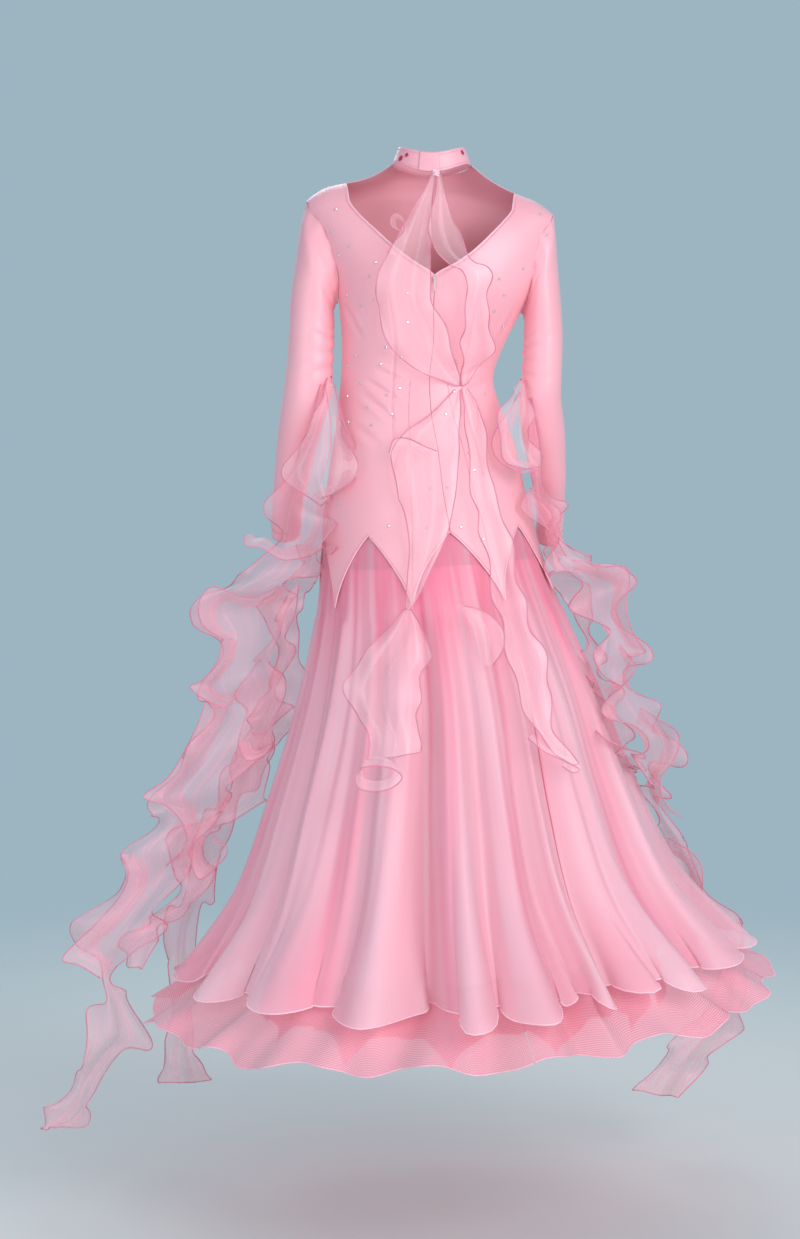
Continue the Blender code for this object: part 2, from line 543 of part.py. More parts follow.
def add_back_panel(name, side):
    """One back panel; side is 1 for the wearer's left and -1 for the right."""
    count = BODY_COLUMNS // 4
    gap = panel_gap(0.0, YOKE_LINE_HEIGHT)
    angles = [side * (gap + (90.0 - 2 * gap) * i / count) for i in range(count + 1)]
    rows = yoke_rows(angles)
    for row in BACK_ROWS:
        points = []
        for i in range(count + 1):
            t = i / count
            start = max(row.inner_angle, gap)
            angle = start + (min(row.outer_angle, 90.0 - gap) - start) * t
            height = row.inner_height + (row.outer_height - row.inner_height) * t
            points.append(yoke_point(side * angle, height))
        rows.append(points)
    for point in rows[-1]:
        point.y = SHOULDER_GAP / 2
    return add_grid(name, rows, LYCRA_WALL, 1.0, "lycra", flip=side > 0)


def add_front_panel(name):
    count = BODY_COLUMNS // 4
    gap = panel_gap(90.0, YOKE_LINE_HEIGHT)
    half = [90.0 + gap + (90.0 - gap) * i / count for i in range(count + 1)]
    angles = half + [360.0 - angle for angle in reversed(half[:-1])]
    rows = yoke_rows(angles)
    for row in FRONT_ROWS:
        left = []
        right = []
        for i in range(count + 1):
            t = i / count
            start = max(row.inner_angle, 90.0 + gap)
            angle = start + (row.outer_angle - start) * t
            bend = math.sin(math.pi * t / 2) ** 2
            height = row.inner_height + (row.outer_height - row.inner_height) * bend
            left.append(yoke_point(angle, height))
            right.append(yoke_point(360.0 - angle, height))
        rows.append(left + list(reversed(right[:-1])))
    for row in rows[-4:]:
        row[0].y = min(row[0].y, -SHOULDER_GAP / 2)
        row[-1].y = min(row[-1].y, -SHOULDER_GAP / 2)
    return add_grid(name, rows, LYCRA_WALL, 1.0, "lycra", flip=True)


def armhole_loop(side):
    """Points round an armhole: shoulder, down the back edge, armpit, up the front edge."""
    back = []
    for row in reversed(BACK_ROWS[ARMHOLE_FIRST:]):
        back.append(form_point(BODY, side * row.outer_angle, row.outer_height))
    front = []
    for row in FRONT_ROWS[ARMHOLE_FIRST + 1:ARMHOLE_FIRST + 6]:
        front.append(form_point(BODY, side * row.inner_angle, row.inner_height))
    corners = back + front
    loop = []
    for i, corner in enumerate(corners):
        loop.append(corner)
        loop.append((corner + corners[(i + 1) % len(corners)]) / 2)
    lowest = min(corner.z for corner in corners)
    highest = max(corner.z for corner in corners)
    for point in loop:
        low = (highest - point.z) / (highest - lowest)
        point.x += side * (ARMHOLE_GAP + (UNDERARM_GAP - ARMHOLE_GAP) * low**3)
    return loop


def ring_points(ring, count):
    """Ring of the sleeve: the outer line first, round the back to the inner line."""
    centre = Vector(((ring.outer_x + ring.inner_x) / 2, ring.centre_y, (ring.outer_z + ring.inner_z) / 2))
    across = Vector(((ring.outer_x - ring.inner_x) / 2, 0.0, (ring.outer_z - ring.inner_z) / 2))
    lean = math.radians(ring.lean)
    deep = Vector((0.0, math.cos(lean), -math.sin(lean))) * ring.half_depth
    points = []
    for i in range(count):
        turn = 2 * math.pi * i / count
        points.append(centre + across * math.cos(turn) + deep * math.sin(turn))
    return points


def add_sleeve(name, side, rings):
    rows = [armhole_loop(side)]
    for ring in rings:
        rows.append(ring_points(ring, SLEEVE_COLUMNS))
    return add_grid(name, rows, ORGANZA_WALL, -1.0, "lycra", closed=True, flip=side > 0)


def collar_point(edge, angle):
    turn = math.radians(angle)
    c = math.cos(turn)
    height = edge.side + ((edge.back if c >= 0 else edge.front) - edge.side) * abs(c) ** 2.4
    return Vector((COLLAR_CENTRE_X + edge.half_width * math.sin(turn), edge.half_depth * c, height))


def add_collar(name):
    rows = []
    for edge in (COLLAR_LOWER, COLLAR_MIDDLE, COLLAR_UPPER):
        row = [collar_point(edge, 360.0 * i / COLLAR_COLUMNS) for i in range(COLLAR_COLUMNS)]
        rows.append(row)
    return add_grid(name, rows, LYCRA_WALL, 1.0, "lycra", closed=True, flip=True)


def add_gore(name, index):
    """One gore of the top skirt, between two tongues of the yoke."""
    step = 360.0 / ARCH_COUNT
    count = SKIRT_COLUMNS // ARCH_COUNT
    rows = []
    for section in SKIRT:
        gap = math.degrees(SEAM_GAP / 2 / (section.half_width * 0.8))
        start = (index - 0.5) * step + gap
        row = []
        for i in range(count + 1):
            angle = start + (step - 2 * gap) * i / count
            row.append(skirt_point(angle, section.height))
        rows.append(row)
    rows.reverse()
    return add_grid(name, rows, ORGANZA_WALL, -1.0, "organza", flip=True)


def half_angles(columns, side):
    """Angles of half a layer, from the centre front round a side to the centre back."""
    count = columns // 2
    gap = 0.06
    angles = [gap + (180.0 - 2 * gap) * i / count for i in range(count + 1)]
    return [side * angle for angle in angles]


def add_layer(name, side):
    rows = []
    for layer in MIDDLE_LAYER:
        rows.append([skirt_point(a, layer.height, layer.inset) for a in half_angles(SKIRT_COLUMNS, side)])
    rows.reverse()
    return add_grid(name, rows, ORGANZA_WALL, -1.0, "organza", flip=side > 0)


def braid_point(angle, row):
    top_fold = value_at(FOLDS, row.height, "depth") * fold_at(angle)
    wave = BRAID_WAVE_DEPTH * math.sin(math.radians(BRAID_WAVES * angle) + 0.6)
    turn = math.radians(angle + SKIRT[-1].twist)
    out = 1.0 - top_fold * row.wave + wave * (1.0 - row.wave)
    x = row.centre_x + row.half_width * out * math.sin(turn)
    y = row.depth * out * math.cos(turn)
    z = row.height + SKIRT[-1].tilt * x - row.dip * math.cos(turn)
    return Vector((x, y, z))


def add_braid(name, side):
    rows = []
    for row in reversed(BRAID_ROWS):
        rows.append([braid_point(a, row) for a in half_angles(SKIRT_COLUMNS, side)])
    join = MIDDLE_LAYER[-1]
    top = join.height - 2 * SEAM_GAP
    rows.append([skirt_point(a, top, join.inset) for a in half_angles(SKIRT_COLUMNS, side)])
    return add_grid(name, rows, BRAID_WALL, -1.0, "braid", flip=side > 0)


def add_tulle(name, side):
    angles = half_angles(NET_COLUMNS, side)
    hem = []
    for i, angle in enumerate(angles):
        low = TULLE_LAYER[-1]
        point = form_point(SKIRT, angle, low.height, grow=-low.inset)
        point = point + Vector((point.x - SKIRT[-1].centre_x, point.y, 0.0)) * 0.12
        point.z -= 0.090 + (TULLE_POINT if i % 4 == 2 else 0.0)
        hem.append(point)
    rows = [hem]
    for layer in reversed(TULLE_LAYER[1:]):
        rows.append([form_point(SKIRT, a, layer.height, grow=-layer.inset) for a in angles])
    top = TULLE_LAYER[0]
    rows.append([skirt_point(a, top.height, top.inset) for a in angles])
    return add_grid(name, rows, TULLE_WALL, -1.0, "tulle", flip=side > 0)


def add_strip(name, strips):
    """Float of organza: a row per step along it, from one wavy edge to the other."""
    rows = []
    for strip in strips:
        start = Vector((strip.left_x, strip.left_y, strip.left_z))
        end = Vector((strip.right_x, strip.right_y, strip.right_z))
        row = []
        for i in range(STRIP_COLUMNS + 1):
            t = i / STRIP_COLUMNS
            point = start.lerp(end, t)
            point.y += strip.bulge * math.sin(math.pi * t)
            row.append(point)
        rows.append(row)
    return add_grid(name, rows, ORGANZA_WALL, 0.0, "organza")


def add_box(name, centre, size, bevel, slot):
    x, y, z = (half / 2 for half in size)
    signs = [(-1, -1), (1, -1), (1, 1), (-1, 1)]
    points = [Vector(centre) + Vector((sx * x, sy * y, sz * z)) for sz in (-1, 1) for sx, sy in signs]
    faces = [(3, 2, 1, 0), (4, 5, 6, 7), (0, 1, 5, 4), (1, 2, 6, 5), (2, 3, 7, 6), (3, 0, 4, 7)]
    obj = add_mesh(name, points, faces, slot)
    if bevel:
        edge = obj.modifiers.new("bevel", "BEVEL")
        edge.width = bevel
        edge.segments = 1
    return obj


def add_rod(name, centre, radius, length, slot):
    """Round rod along X."""
    points = []
    for x in (-length / 2, length / 2):
        for i in range(ROUND_STEPS):
            turn = 2 * math.pi * i / ROUND_STEPS
            points.append(Vector(centre) + Vector((x, radius * math.cos(turn), radius * math.sin(turn))))
    faces = [tuple(reversed(range(ROUND_STEPS))), tuple(range(ROUND_STEPS, 2 * ROUND_STEPS))]
    for i in range(ROUND_STEPS):
        j = (i + 1) % ROUND_STEPS
        faces.append((i, j, j + ROUND_STEPS, i + ROUND_STEPS))
    return add_mesh(name, points, faces, slot)


def join_or_cut(obj, tool, operation):
    step = obj.modifiers.new(operation.lower(), "BOOLEAN")
    step.operation = operation
    step.solver = "EXACT"
    step.object = tool
    tool.hide_render = True
    tool.display_type = "WIRE"


def add_zip():
    x = form_point(BODY, 0.0, PIN_HEIGHT).x
    face = max(form_point(BODY, 0.0, h).y for h in (PIN_HEIGHT, SLIDER_HEIGHT - SLIDER_SIZE[2] / 2))
    face += LYCRA_WALL + SEAM_GAP
    slider_centre = (x, face + SLIDER_SIZE[1] / 2, SLIDER_HEIGHT)
    slider = add_box("zip_slider", slider_centre, SLIDER_SIZE, SLIDER_BEVEL, "zip_metal")
    pin = (x, face + PIN_OUT, PIN_HEIGHT)
    for sign, word in ((-1, "right"), (1, "left")):
        centre = (x + sign * (SLIDER_SIZE[0] / 2 - EAR_SIZE[0] / 2 - 0.0001), face + EAR_OUT, PIN_HEIGHT)
        ear = add_box("cutter_ear_" + word, centre, EAR_SIZE, 0.0, "zip_metal")
        join_or_cut(slider, ear, "UNION")
    rod = add_rod("cutter_pin", pin, PIN_RADIUS, SLIDER_SIZE[0] - 0.0012, "zip_metal")
    join_or_cut(slider, rod, "UNION")
    pull_centre = (x, pin[1], PIN_HEIGHT + 0.0014 - PULL_SIZE[2] / 2)
    pull_size = (PULL_SIZE[0], PULL_SIZE[1], PULL_SIZE[2])
    pull = add_box("zip_pull", pull_centre, pull_size, PULL_BEVEL, "zip_metal")
    eye = add_rod("eye_barrel", pin, PULL_EYE_RADIUS + 0.0006, PULL_SIZE[0], "zip_metal")
    join_or_cut(pull, eye, "UNION")
    bore = add_rod("cutter_eye", pin, PULL_EYE_RADIUS, SLIDER_SIZE[0] + 0.002, "zip_metal")
    join_or_cut(pull, bore, "DIFFERENCE")


GROUP = start_empty()
SLOTS = {slot: make_material(slot) for slot in MATERIALS}

add_back_panel("bodice_back_left", 1)
add_back_panel("bodice_back_right", -1)
add_front_panel("bodice_front")
add_sleeve("sleeve_left", 1, LEFT_SLEEVE)
add_sleeve("sleeve_right", -1, RIGHT_SLEEVE)
add_collar("collar")
for gore in range(ARCH_COUNT):
    add_gore("skirt_gore_" + str(gore + 1), gore)
for half, direction in (("left", 1), ("right", -1)):
    add_layer("skirt_middle_" + half, direction)
    add_braid("hem_braid_" + half, direction)
    add_tulle("underskirt_" + half, direction)
add_strip("collar_float_left", COLLAR_FLOAT_LEFT)
add_strip("collar_float_right", COLLAR_FLOAT_RIGHT)
add_strip("waist_float_left", WAIST_FLOAT_LEFT)
add_strip("waist_float_right", WAIST_FLOAT_RIGHT)
add_strip("hip_float", HIP_FLOAT)
add_strip("sleeve_float_left_upper", SLEEVE_FLOAT_LEFT_UPPER)
add_strip("sleeve_float_left_long", SLEEVE_FLOAT_LEFT_LONG)
add_strip("sleeve_float_left_short", SLEEVE_FLOAT_LEFT_SHORT)
add_strip("sleeve_float_right_upper", SLEEVE_FLOAT_RIGHT_UPPER)
add_strip("sleeve_float_right_long", SLEEVE_FLOAT_RIGHT_LONG)
add_zip()
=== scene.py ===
import random
from collections import namedtuple
from math import cos, exp, hypot, pi, radians, sin, sqrt

import bpy
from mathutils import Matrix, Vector, noise


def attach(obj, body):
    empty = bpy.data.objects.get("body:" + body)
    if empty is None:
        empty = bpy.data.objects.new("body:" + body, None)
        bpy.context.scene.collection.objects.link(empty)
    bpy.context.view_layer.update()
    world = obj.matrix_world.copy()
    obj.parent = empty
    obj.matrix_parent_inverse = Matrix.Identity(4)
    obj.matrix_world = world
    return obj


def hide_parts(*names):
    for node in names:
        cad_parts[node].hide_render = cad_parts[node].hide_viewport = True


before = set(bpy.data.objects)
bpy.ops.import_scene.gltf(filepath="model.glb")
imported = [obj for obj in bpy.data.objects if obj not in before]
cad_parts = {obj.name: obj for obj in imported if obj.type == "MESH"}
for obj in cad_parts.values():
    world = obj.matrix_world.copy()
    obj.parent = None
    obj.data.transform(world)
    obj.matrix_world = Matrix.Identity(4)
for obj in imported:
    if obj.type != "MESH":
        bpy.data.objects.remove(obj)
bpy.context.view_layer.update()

# Photograph and camera
PHOTO_WIDTH = 800
PHOTO_HEIGHT = 1239
CAMERA_PLACE = Vector((0.045, 4.050, -0.279))
CAMERA_DOWN = 5.2
CAMERA_FOCAL_ROWS = 2700
SENSOR = 36.0
FLOOR_HEIGHT = -1.545

# Where the visual cloth lies inside the walls of the solids
LYCRA_FACE = 0.0005
LYCRA_THICKNESS = 0.0008
SHEER_DEPTH = 0.0004

# Clearances between pieces
SHOULDER_GAP = 0.0006
ARMHOLE_GAP = 0.0008
UNDERARM_GAP = 0.0035
YOKE_GAP = 0.0012

# Hip yoke: eight pointed arches, each with a tongue on either side
ARCH_COUNT = 8
ARCH_TOP_HEIGHT = -0.510
TONGUE_TIP_HEIGHT = -0.622
YOKE_LINE_HEIGHT = -0.470
ARCH_POINT = 1.5

# Points round the collar and the sleeves, and points of the tulle's hem
NET_COLUMNS = 48
COLLAR_COLUMNS = 32
SLEEVE_COLUMNS = 24

# Fineness of the cloth: columns across a sheet, levels and steps along it
BACK_COLUMNS = 152
BACK_YOKE_LEVELS = 34
BACK_STEPS = 12
FRONT_COLUMNS = 80
FRONT_YOKE_LEVELS = 20
FRONT_STEPS = 8
SLEEVE_ACROSS = 4
SLEEVE_STEPS = 14
COLLAR_ACROSS = 6
COLLAR_STEPS = 8
GORE_COLUMNS = 72
GORE_LEVELS = 84
MIDDLE_COLUMNS = 300
MIDDLE_LEVELS = 60
BRAID_COLUMNS = 360
BRAID_STEPS = 12
TULLE_COLUMNS = 240
TULLE_STEPS = 10
FLOAT_COLUMNS = 20
FLOAT_STEPS = 12
CURL_LEVELS = 8
CURL_STEPS = 6

# Angles kept free beside the seams: at the panels, between gores and between the halves of a skirt layer
PANEL_GAP = 0.12
GORE_GAP = 0.02
HALF_START = 0.06
HALF_SPAN = 179.88

# Rows of the panels beside the neck edge and beside the shoulder line
NECK_ROWS = 62
SHOULDER_ROWS = 26

# Stitches, threads and bindings
STITCH_PITCH = 0.0034
STITCH_LENGTH = 0.0022
YOKE_STITCH_PITCH = 0.0036
COLLAR_STITCH_PITCH = 0.0032
COLLAR_STITCH_LENGTH = 0.0020
STITCH_RISE = 0.0006
COLLAR_STITCH_RISE = 0.0007
CUFF_STITCH_RISE = 0.0008
YOKE_STITCH_RISE = 0.0009
SEAM_RADIUS = 0.0005
COLLAR_EDGE_RADIUS = 0.0006
HEM_RADIUS = 0.0007
NECK_BINDING_RADIUS = 0.0009
BRAID_EDGE_RADIUS = 0.0011
GORE_HEM_RADIUS = 0.0012
ARMHOLE_RADIUS = 0.0013
KNOT_RADIUS = 0.0016
SEAM_POINTS = 40
OVERLAP_LIFT = 0.0012
BAND_THICKNESS = 0.0010


def rows_of(kind, *rows):
    """Rows of a table, under the named columns of its kind."""
    return [kind(*row) for row in rows]


def in_millimetres(kind, *rows):
    """The same for a table written in millimetres, turned into metres."""
    return [kind(*(value / 1000 for value in row)) for row in rows]


# Body form: inner face of the bodice, a row per height
Section = namedtuple("Section", "height half_width back front centre_x tilt twist dip")
BODY = rows_of(
    Section,
    (-0.5, 0.157, 0.1195, 0.1135, 0.004, -0.06, -11.2, 0),
    (-0.45, 0.1475, 0.111, 0.105, 0.008, -0.05, -10, 0),
    (-0.39, 0.1365, 0.098, 0.101, 0.01, -0.03, -8.5, 0),
    (-0.335, 0.1225, 0.0845, 0.0975, 0.0155, -0.01, -7.5, 0),
    (-0.285, 0.113, 0.077, 0.097, 0.0195, 0.01, -9, 0),
    (-0.2325, 0.1205, 0.087, 0.112, 0.011, 0.035, -7, 0),
    (-0.182, 0.134, 0.0975, 0.124, 0.001, 0.055, -2, 0),
    (-0.145, 0.146, 0.099, 0.117, -0.0055, 0.065, 0, 0),
    (-0.11, 0.162, 0.0945, 0.103, -0.004, 0.065, 0, 0),
    (-0.075, 0.174, 0.0855, 0.09, -0.002, 0.065, 0, 0),
    (-0.045, 0.181, 0.072, 0.08, 0, 0.065, 0, 0),
    (-0.021, 0.1825, 0.054, 0.073, 0, 0.065, 0, 0),
    (-0.006, 0.161, 0.04, 0.07, 0, 0.065, 0, 0),
    (0.006, 0.125, 0.03, 0.066, 0, 0.06, 0, 0),
    (0.018, 0.086, 0.045, 0.062, -0.001, 0.03, 0, 0),
    (0.032, 0.0575, 0.0575, 0.0575, -0.002, 0, 0, 0),
)

# Skirt form: outer face of the top organza skirt, a row per height
SKIRT = rows_of(
    Section,
    (-0.5, 0.1545, 0.117, 0.111, 0.004, -0.06, -11.2, 0),
    (-0.56, 0.165, 0.129, 0.126, -0.0015, -0.06, -11.2, 0),
    (-0.65, 0.189, 0.156, 0.156, -0.014, -0.06, -11.2, 0),
    (-0.765, 0.227, 0.196, 0.196, -0.027, -0.06, -11.2, 0),
    (-0.9, 0.274, 0.244, 0.244, -0.032, -0.06, -11.2, 0.004),
    (-1.04, 0.333, 0.302, 0.302, -0.04, -0.06, -11.2, 0.01),
    (-1.153, 0.415, 0.378, 0.378, -0.053, -0.06, -11.2, 0.016),
)

# Depth of the folds as a part of the radius, a row per skirt height
Fold = namedtuple("Fold", "height depth")
FOLDS = rows_of(
    Fold,
    (-0.5, 0),
    (-0.56, 0.003),
    (-0.65, 0.05),
    (-0.765, 0.1),
    (-0.9, 0.145),
    (-1.04, 0.175),
    (-1.153, 0.2),
)

# Folds of the skirt round the body, in degrees from the centre back
Valley = namedtuple("Valley", "angle half_width depth")
VALLEYS = rows_of(
    Valley,
    (3.75, 8, 0.55), (22.5, 9.5, 1), (41.25, 9, 0.35), (67.5, 10, 0.45), (86.25, 9, 0.3),
    (112.5, 10, 0.6), (135, 9.5, 0.7), (157.5, 10, 0.8), (180, 9.5, 0.6), (202.5, 10, 0.9),
    (225, 9.5, 0.6), (247.5, 10, 0.8), (270, 9.5, 0.6), (292.5, 10, 0.5), (315, 9, 0.35),
    (337.5, 8.5, 0.9), (348.75, 7.5, 0.7),
)


def value_at(table, height, column):
    """Smooth curve through one column of a table that is sorted by height."""
    rows = sorted(table, key=lambda row: row.height)
    heights = [row.height for row in rows]
    values = [getattr(row, column) for row in rows]
    if height <= heights[0]:
        return values[0]
    if height >= heights[-1]:
        return values[-1]
    slopes = []
    for i in range(len(rows)):
        low = max(i - 1, 0)
        high = min(i + 1, len(rows) - 1)
        slopes.append((values[high] - values[low]) / (heights[high] - heights[low]))
    i = max(k for k in range(len(rows) - 1) if heights[k] <= height)
    span = heights[i + 1] - heights[i]
    t = (height - heights[i]) / span
    return (
        (2 * t**3 - 3 * t**2 + 1) * values[i]
        + (t**3 - 2 * t**2 + t) * span * slopes[i]
        + (3 * t**2 - 2 * t**3) * values[i + 1]
        + (t**3 - t**2) * span * slopes[i + 1]
    )


def form_point(table, angle, height, grow=0.0, scale=1.0):
    """Point of a form, at degrees from the centre back towards the wearer's left."""
    turn = radians(angle + value_at(table, height, "twist"))
    depth = value_at(table, height, "back" if cos(turn) >= 0 else "front")
    half_width = value_at(table, height, "half_width")
    x = value_at(table, height, "centre_x") + (half_width * scale + grow) * sin(turn)
    y = (depth * scale + grow) * cos(turn)
    z = height + value_at(table, height, "tilt") * x
    z -= value_at(table, height, "dip") * cos(turn)
    return Vector((x, y, z))


def fold_at(angle):
    """How deep the skirt's folds are at an angle, from 0 on a crest to 1."""
    deepest = 0.0
    for valley in VALLEYS:
        away = abs((angle - valley.angle + 180.0) % 360.0 - 180.0)
        if away < valley.half_width:
            bump = 0.5 + 0.5 * cos(pi * away / valley.half_width)
            deepest = max(deepest, valley.depth * bump)
    return deepest


def skirt_point(angle, height, inset=0.0):
    """Point of the folded top skirt, moved in by an inset."""
    depth = value_at(FOLDS, height, "depth") * fold_at(angle)
    return form_point(SKIRT, angle, height, grow=-inset, scale=1.0 - depth)


def yoke_point(angle, height):
    """Point of the bodice's inner face, which lies over the skirt below the hip."""
    if height >= BODY[0].height:
        return form_point(BODY, angle, height)
    over = form_point(SKIRT, angle, height, grow=YOKE_GAP)
    join = form_point(BODY, angle, BODY[0].height)
    skirt_join = form_point(SKIRT, angle, BODY[0].height, grow=YOKE_GAP)
    fade = max(0.0, 1.0 - (BODY[0].height - height) / 0.03)
    return over + (join - skirt_join) * fade


# Bodice rows above the hip line, from the inner edge to the outer edge of each panel
PanelRow = namedtuple("PanelRow", "inner_angle inner_height outer_angle outer_height")
BACK_ROWS = rows_of(
    PanelRow,
    (0, -0.47, 90, -0.47),
    (0, -0.42, 90, -0.42),
    (0, -0.37, 90, -0.37),
    (0, -0.325, 90, -0.325),
    (0, -0.28, 90, -0.28),
    (0, -0.235, 90, -0.235),
    (0, -0.19, 90, -0.204),
    (0, -0.158, 90, -0.182),
    (0, -0.1365, 76, -0.152),
    (12.5, -0.114, 68, -0.125),
    (22.5, -0.09, 64, -0.095),
    (34, -0.05, 65, -0.06),
    (41, -0.021, 75, -0.036),
    (90, 0.006, 90, -0.021),
)

# The front closes up to the collar: half of it, from the side to the centre front
FRONT_ROWS = rows_of(
    PanelRow,
    (90, -0.47, 180, -0.47),
    (90, -0.42, 180, -0.42),
    (90, -0.37, 180, -0.37),
    (90, -0.325, 180, -0.325),
    (90, -0.28, 180, -0.28),
    (90, -0.235, 180, -0.235),
    (90, -0.204, 180, -0.19),
    (90, -0.182, 180, -0.158),
    (104, -0.152, 180, -0.125),
    (112, -0.125, 180, -0.1),
    (116, -0.095, 180, -0.072),
    (115, -0.06, 180, -0.045),
    (105, -0.036, 180, -0.026),
    (90, -0.021, 180, -0.012),
    (90, 0.006, 180, 0.006),
    (90, 0.018, 180, 0.012),
    (90, 0.0325, 180, 0.019),
)
ARMHOLE_FIRST = 7

# Sleeves: outer and inner line of the arm, its depth and the ring's lean, a row per ring
Ring = namedtuple("Ring", "outer_x outer_z inner_x inner_z centre_y half_depth lean")
LEFT_SLEEVE = rows_of(
    Ring,
    (0.189, -0.045, 0.143, -0.186, 0, 0.044, 0),
    (0.194, -0.105, 0.1425, -0.202, 0.002, 0.043, 0),
    (0.202, -0.16, 0.142, -0.22, 0.006, 0.04, 0),
    (0.2075, -0.215, 0.142, -0.243, 0.01, 0.038, 0),
    (0.215, -0.268, 0.144, -0.28, 0.013, 0.037, 0),
    (0.221, -0.315, 0.148, -0.318, 0.01, 0.036, 8),
    (0.229, -0.365, 0.163, -0.365, -0.012, 0.033, 22),
    (0.2365, -0.43, 0.18, -0.428, -0.048, 0.028, 34),
    (0.242, -0.485, 0.193, -0.482, -0.085, 0.0245, 38),
    (0.2445, -0.525, 0.1985, -0.522, -0.116, 0.0225, 38),
)
RIGHT_SLEEVE = rows_of(
    Ring,
    (-0.186, -0.062, -0.14, -0.203, 0, 0.044, 0),
    (-0.1895, -0.115, -0.139, -0.218, 0.002, 0.043, 0),
    (-0.194, -0.165, -0.1375, -0.234, 0.006, 0.04, 0),
    (-0.1975, -0.22, -0.136, -0.256, 0.01, 0.037, 0),
    (-0.1965, -0.275, -0.134, -0.29, 0.013, 0.0345, 0),
    (-0.196, -0.315, -0.1325, -0.32, 0.01, 0.0345, 8),
    (-0.203, -0.365, -0.137, -0.37, -0.012, 0.033, 22),
    (-0.207, -0.43, -0.152, -0.43, -0.048, 0.028, 34),
    (-0.207, -0.485, -0.163, -0.487, -0.085, 0.0245, 38),
    (-0.206, -0.53, -0.164, -0.53, -0.116, 0.0225, 38),
)

# Collar: lower and upper edge of the neck band at its side, centre back and centre front
CollarEdge = namedtuple("CollarEdge", "half_width half_depth side back front")
COLLAR_LOWER = CollarEdge(0.0570, 0.0570, 0.0345, 0.0160, 0.0205)
COLLAR_MIDDLE = CollarEdge(0.0525, 0.0535, 0.0450, 0.0300, 0.0330)
COLLAR_UPPER = CollarEdge(0.0485, 0.0500, 0.0555, 0.0440, 0.0460)
COLLAR_CENTRE_X = -0.0020

# Layers under the top skirt: inset from it at each height
Layer = namedtuple("Layer", "height inset")
MIDDLE_LAYER = rows_of(
    Layer,
    (-0.56, 0.0022),
    (-0.65, 0.007),
    (-0.9, 0.015),
    (-1.04, 0.018),
    (-1.125, 0.022),
)
TULLE_LAYER = rows_of(
    Layer,
    (-0.56, 0.0042),
    (-0.65, 0.024),
    (-0.765, 0.045),
    (-0.9, 0.065),
    (-1.04, 0.09),
    (-1.125, 0.115),
)
TULLE_POINT = 0.045

# Stiff braid at the hem, a row per height, with its own shallow waves
Braid = namedtuple("Braid", "height half_width depth centre_x dip wave")
BRAID_ROWS = rows_of(
    Braid,
    (-1.163, 0.401, 0.364, -0.049, 0.017, 1),
    (-1.212, 0.472, 0.424, -0.045, 0.022, 0.35),
)
BRAID_WAVES = 9
BRAID_WAVE_DEPTH = 0.020


def yoke_edge(angle):
    """Height of the hip yoke's edge: an arch's top at 0, a tongue's tip half way on."""
    step = 360.0 / ARCH_COUNT
    away = abs((angle + step / 2) % step - step / 2) / (step / 2)
    return ARCH_TOP_HEIGHT + (TONGUE_TIP_HEIGHT - ARCH_TOP_HEIGHT) * away**ARCH_POINT


def armhole_loop(side):
    """Points round an armhole: shoulder, down the back edge, armpit, up the front edge."""
    back = []
    for row in reversed(BACK_ROWS[ARMHOLE_FIRST:]):
        back.append(form_point(BODY, side * row.outer_angle, row.outer_height))
    front = []
    for row in FRONT_ROWS[ARMHOLE_FIRST + 1:ARMHOLE_FIRST + 6]:
        front.append(form_point(BODY, side * row.inner_angle, row.inner_height))
    corners = back + front
    loop = []
    for i, corner in enumerate(corners):
        loop.append(corner)
        loop.append((corner + corners[(i + 1) % len(corners)]) / 2)
    lowest = min(corner.z for corner in corners)
    highest = max(corner.z for corner in corners)
    for point in loop:
        low = (highest - point.z) / (highest - lowest)
        point.x += side * (ARMHOLE_GAP + (UNDERARM_GAP - ARMHOLE_GAP) * low**3)
    return loop


def ring_points(ring, count):
    """Ring of the sleeve: the outer line first, round the back to the inner line."""
    centre = Vector(((ring.outer_x + ring.inner_x) / 2, ring.centre_y, (ring.outer_z + ring.inner_z) / 2))
    across = Vector(((ring.outer_x - ring.inner_x) / 2, 0.0, (ring.outer_z - ring.inner_z) / 2))
    lean = radians(ring.lean)
    deep = Vector((0.0, cos(lean), -sin(lean))) * ring.half_depth
    points = []
    for i in range(count):
        turn = 2 * pi * i / count
        points.append(centre + across * cos(turn) + deep * sin(turn))
    return points


def collar_point(edge, angle):
    turn = radians(angle)
    c = cos(turn)
    height = edge.side + ((edge.back if c >= 0 else edge.front) - edge.side) * abs(c) ** 2.4
    return Vector((COLLAR_CENTRE_X + edge.half_width * sin(turn), edge.half_depth * c, height))


def braid_point(angle, row):
    top_fold = value_at(FOLDS, row.height, "depth") * fold_at(angle)
    wave = BRAID_WAVE_DEPTH * sin(radians(BRAID_WAVES * angle) + 0.6)
    turn = radians(angle + SKIRT[-1].twist)
    out = 1.0 - top_fold * row.wave + wave * (1.0 - row.wave)
    x = row.centre_x + row.half_width * out * sin(turn)
    y = row.depth * out * cos(turn)
    z = row.height + SKIRT[-1].tilt * x - row.dip * cos(turn)
    return Vector((x, y, z))


# Floats: both edges of the cloth and how far it bulges between them, in millimetres
Strip = namedtuple("Strip", "left_x left_y left_z right_x right_y right_z bulge")
SLEEVE_FLOAT_LEFT_UPPER = in_millimetres(
    Strip,
    (152.5, 36.5, -285, 147, 29.5, -285, 0), (156, 49.5, -301, 142, 44, -302.5, 1),
    (162, 56, -322, 137, 54, -326, 3), (180, 52, -362, 126, 80, -361, 8),
    (200, 36, -401, 108, 98, -390, 10), (213, 32, -429, 105, 102, -416, 10),
    (194, 36, -452, 115, 98, -437, 6), (160, 54, -473, 142, 74, -456, 2),
)

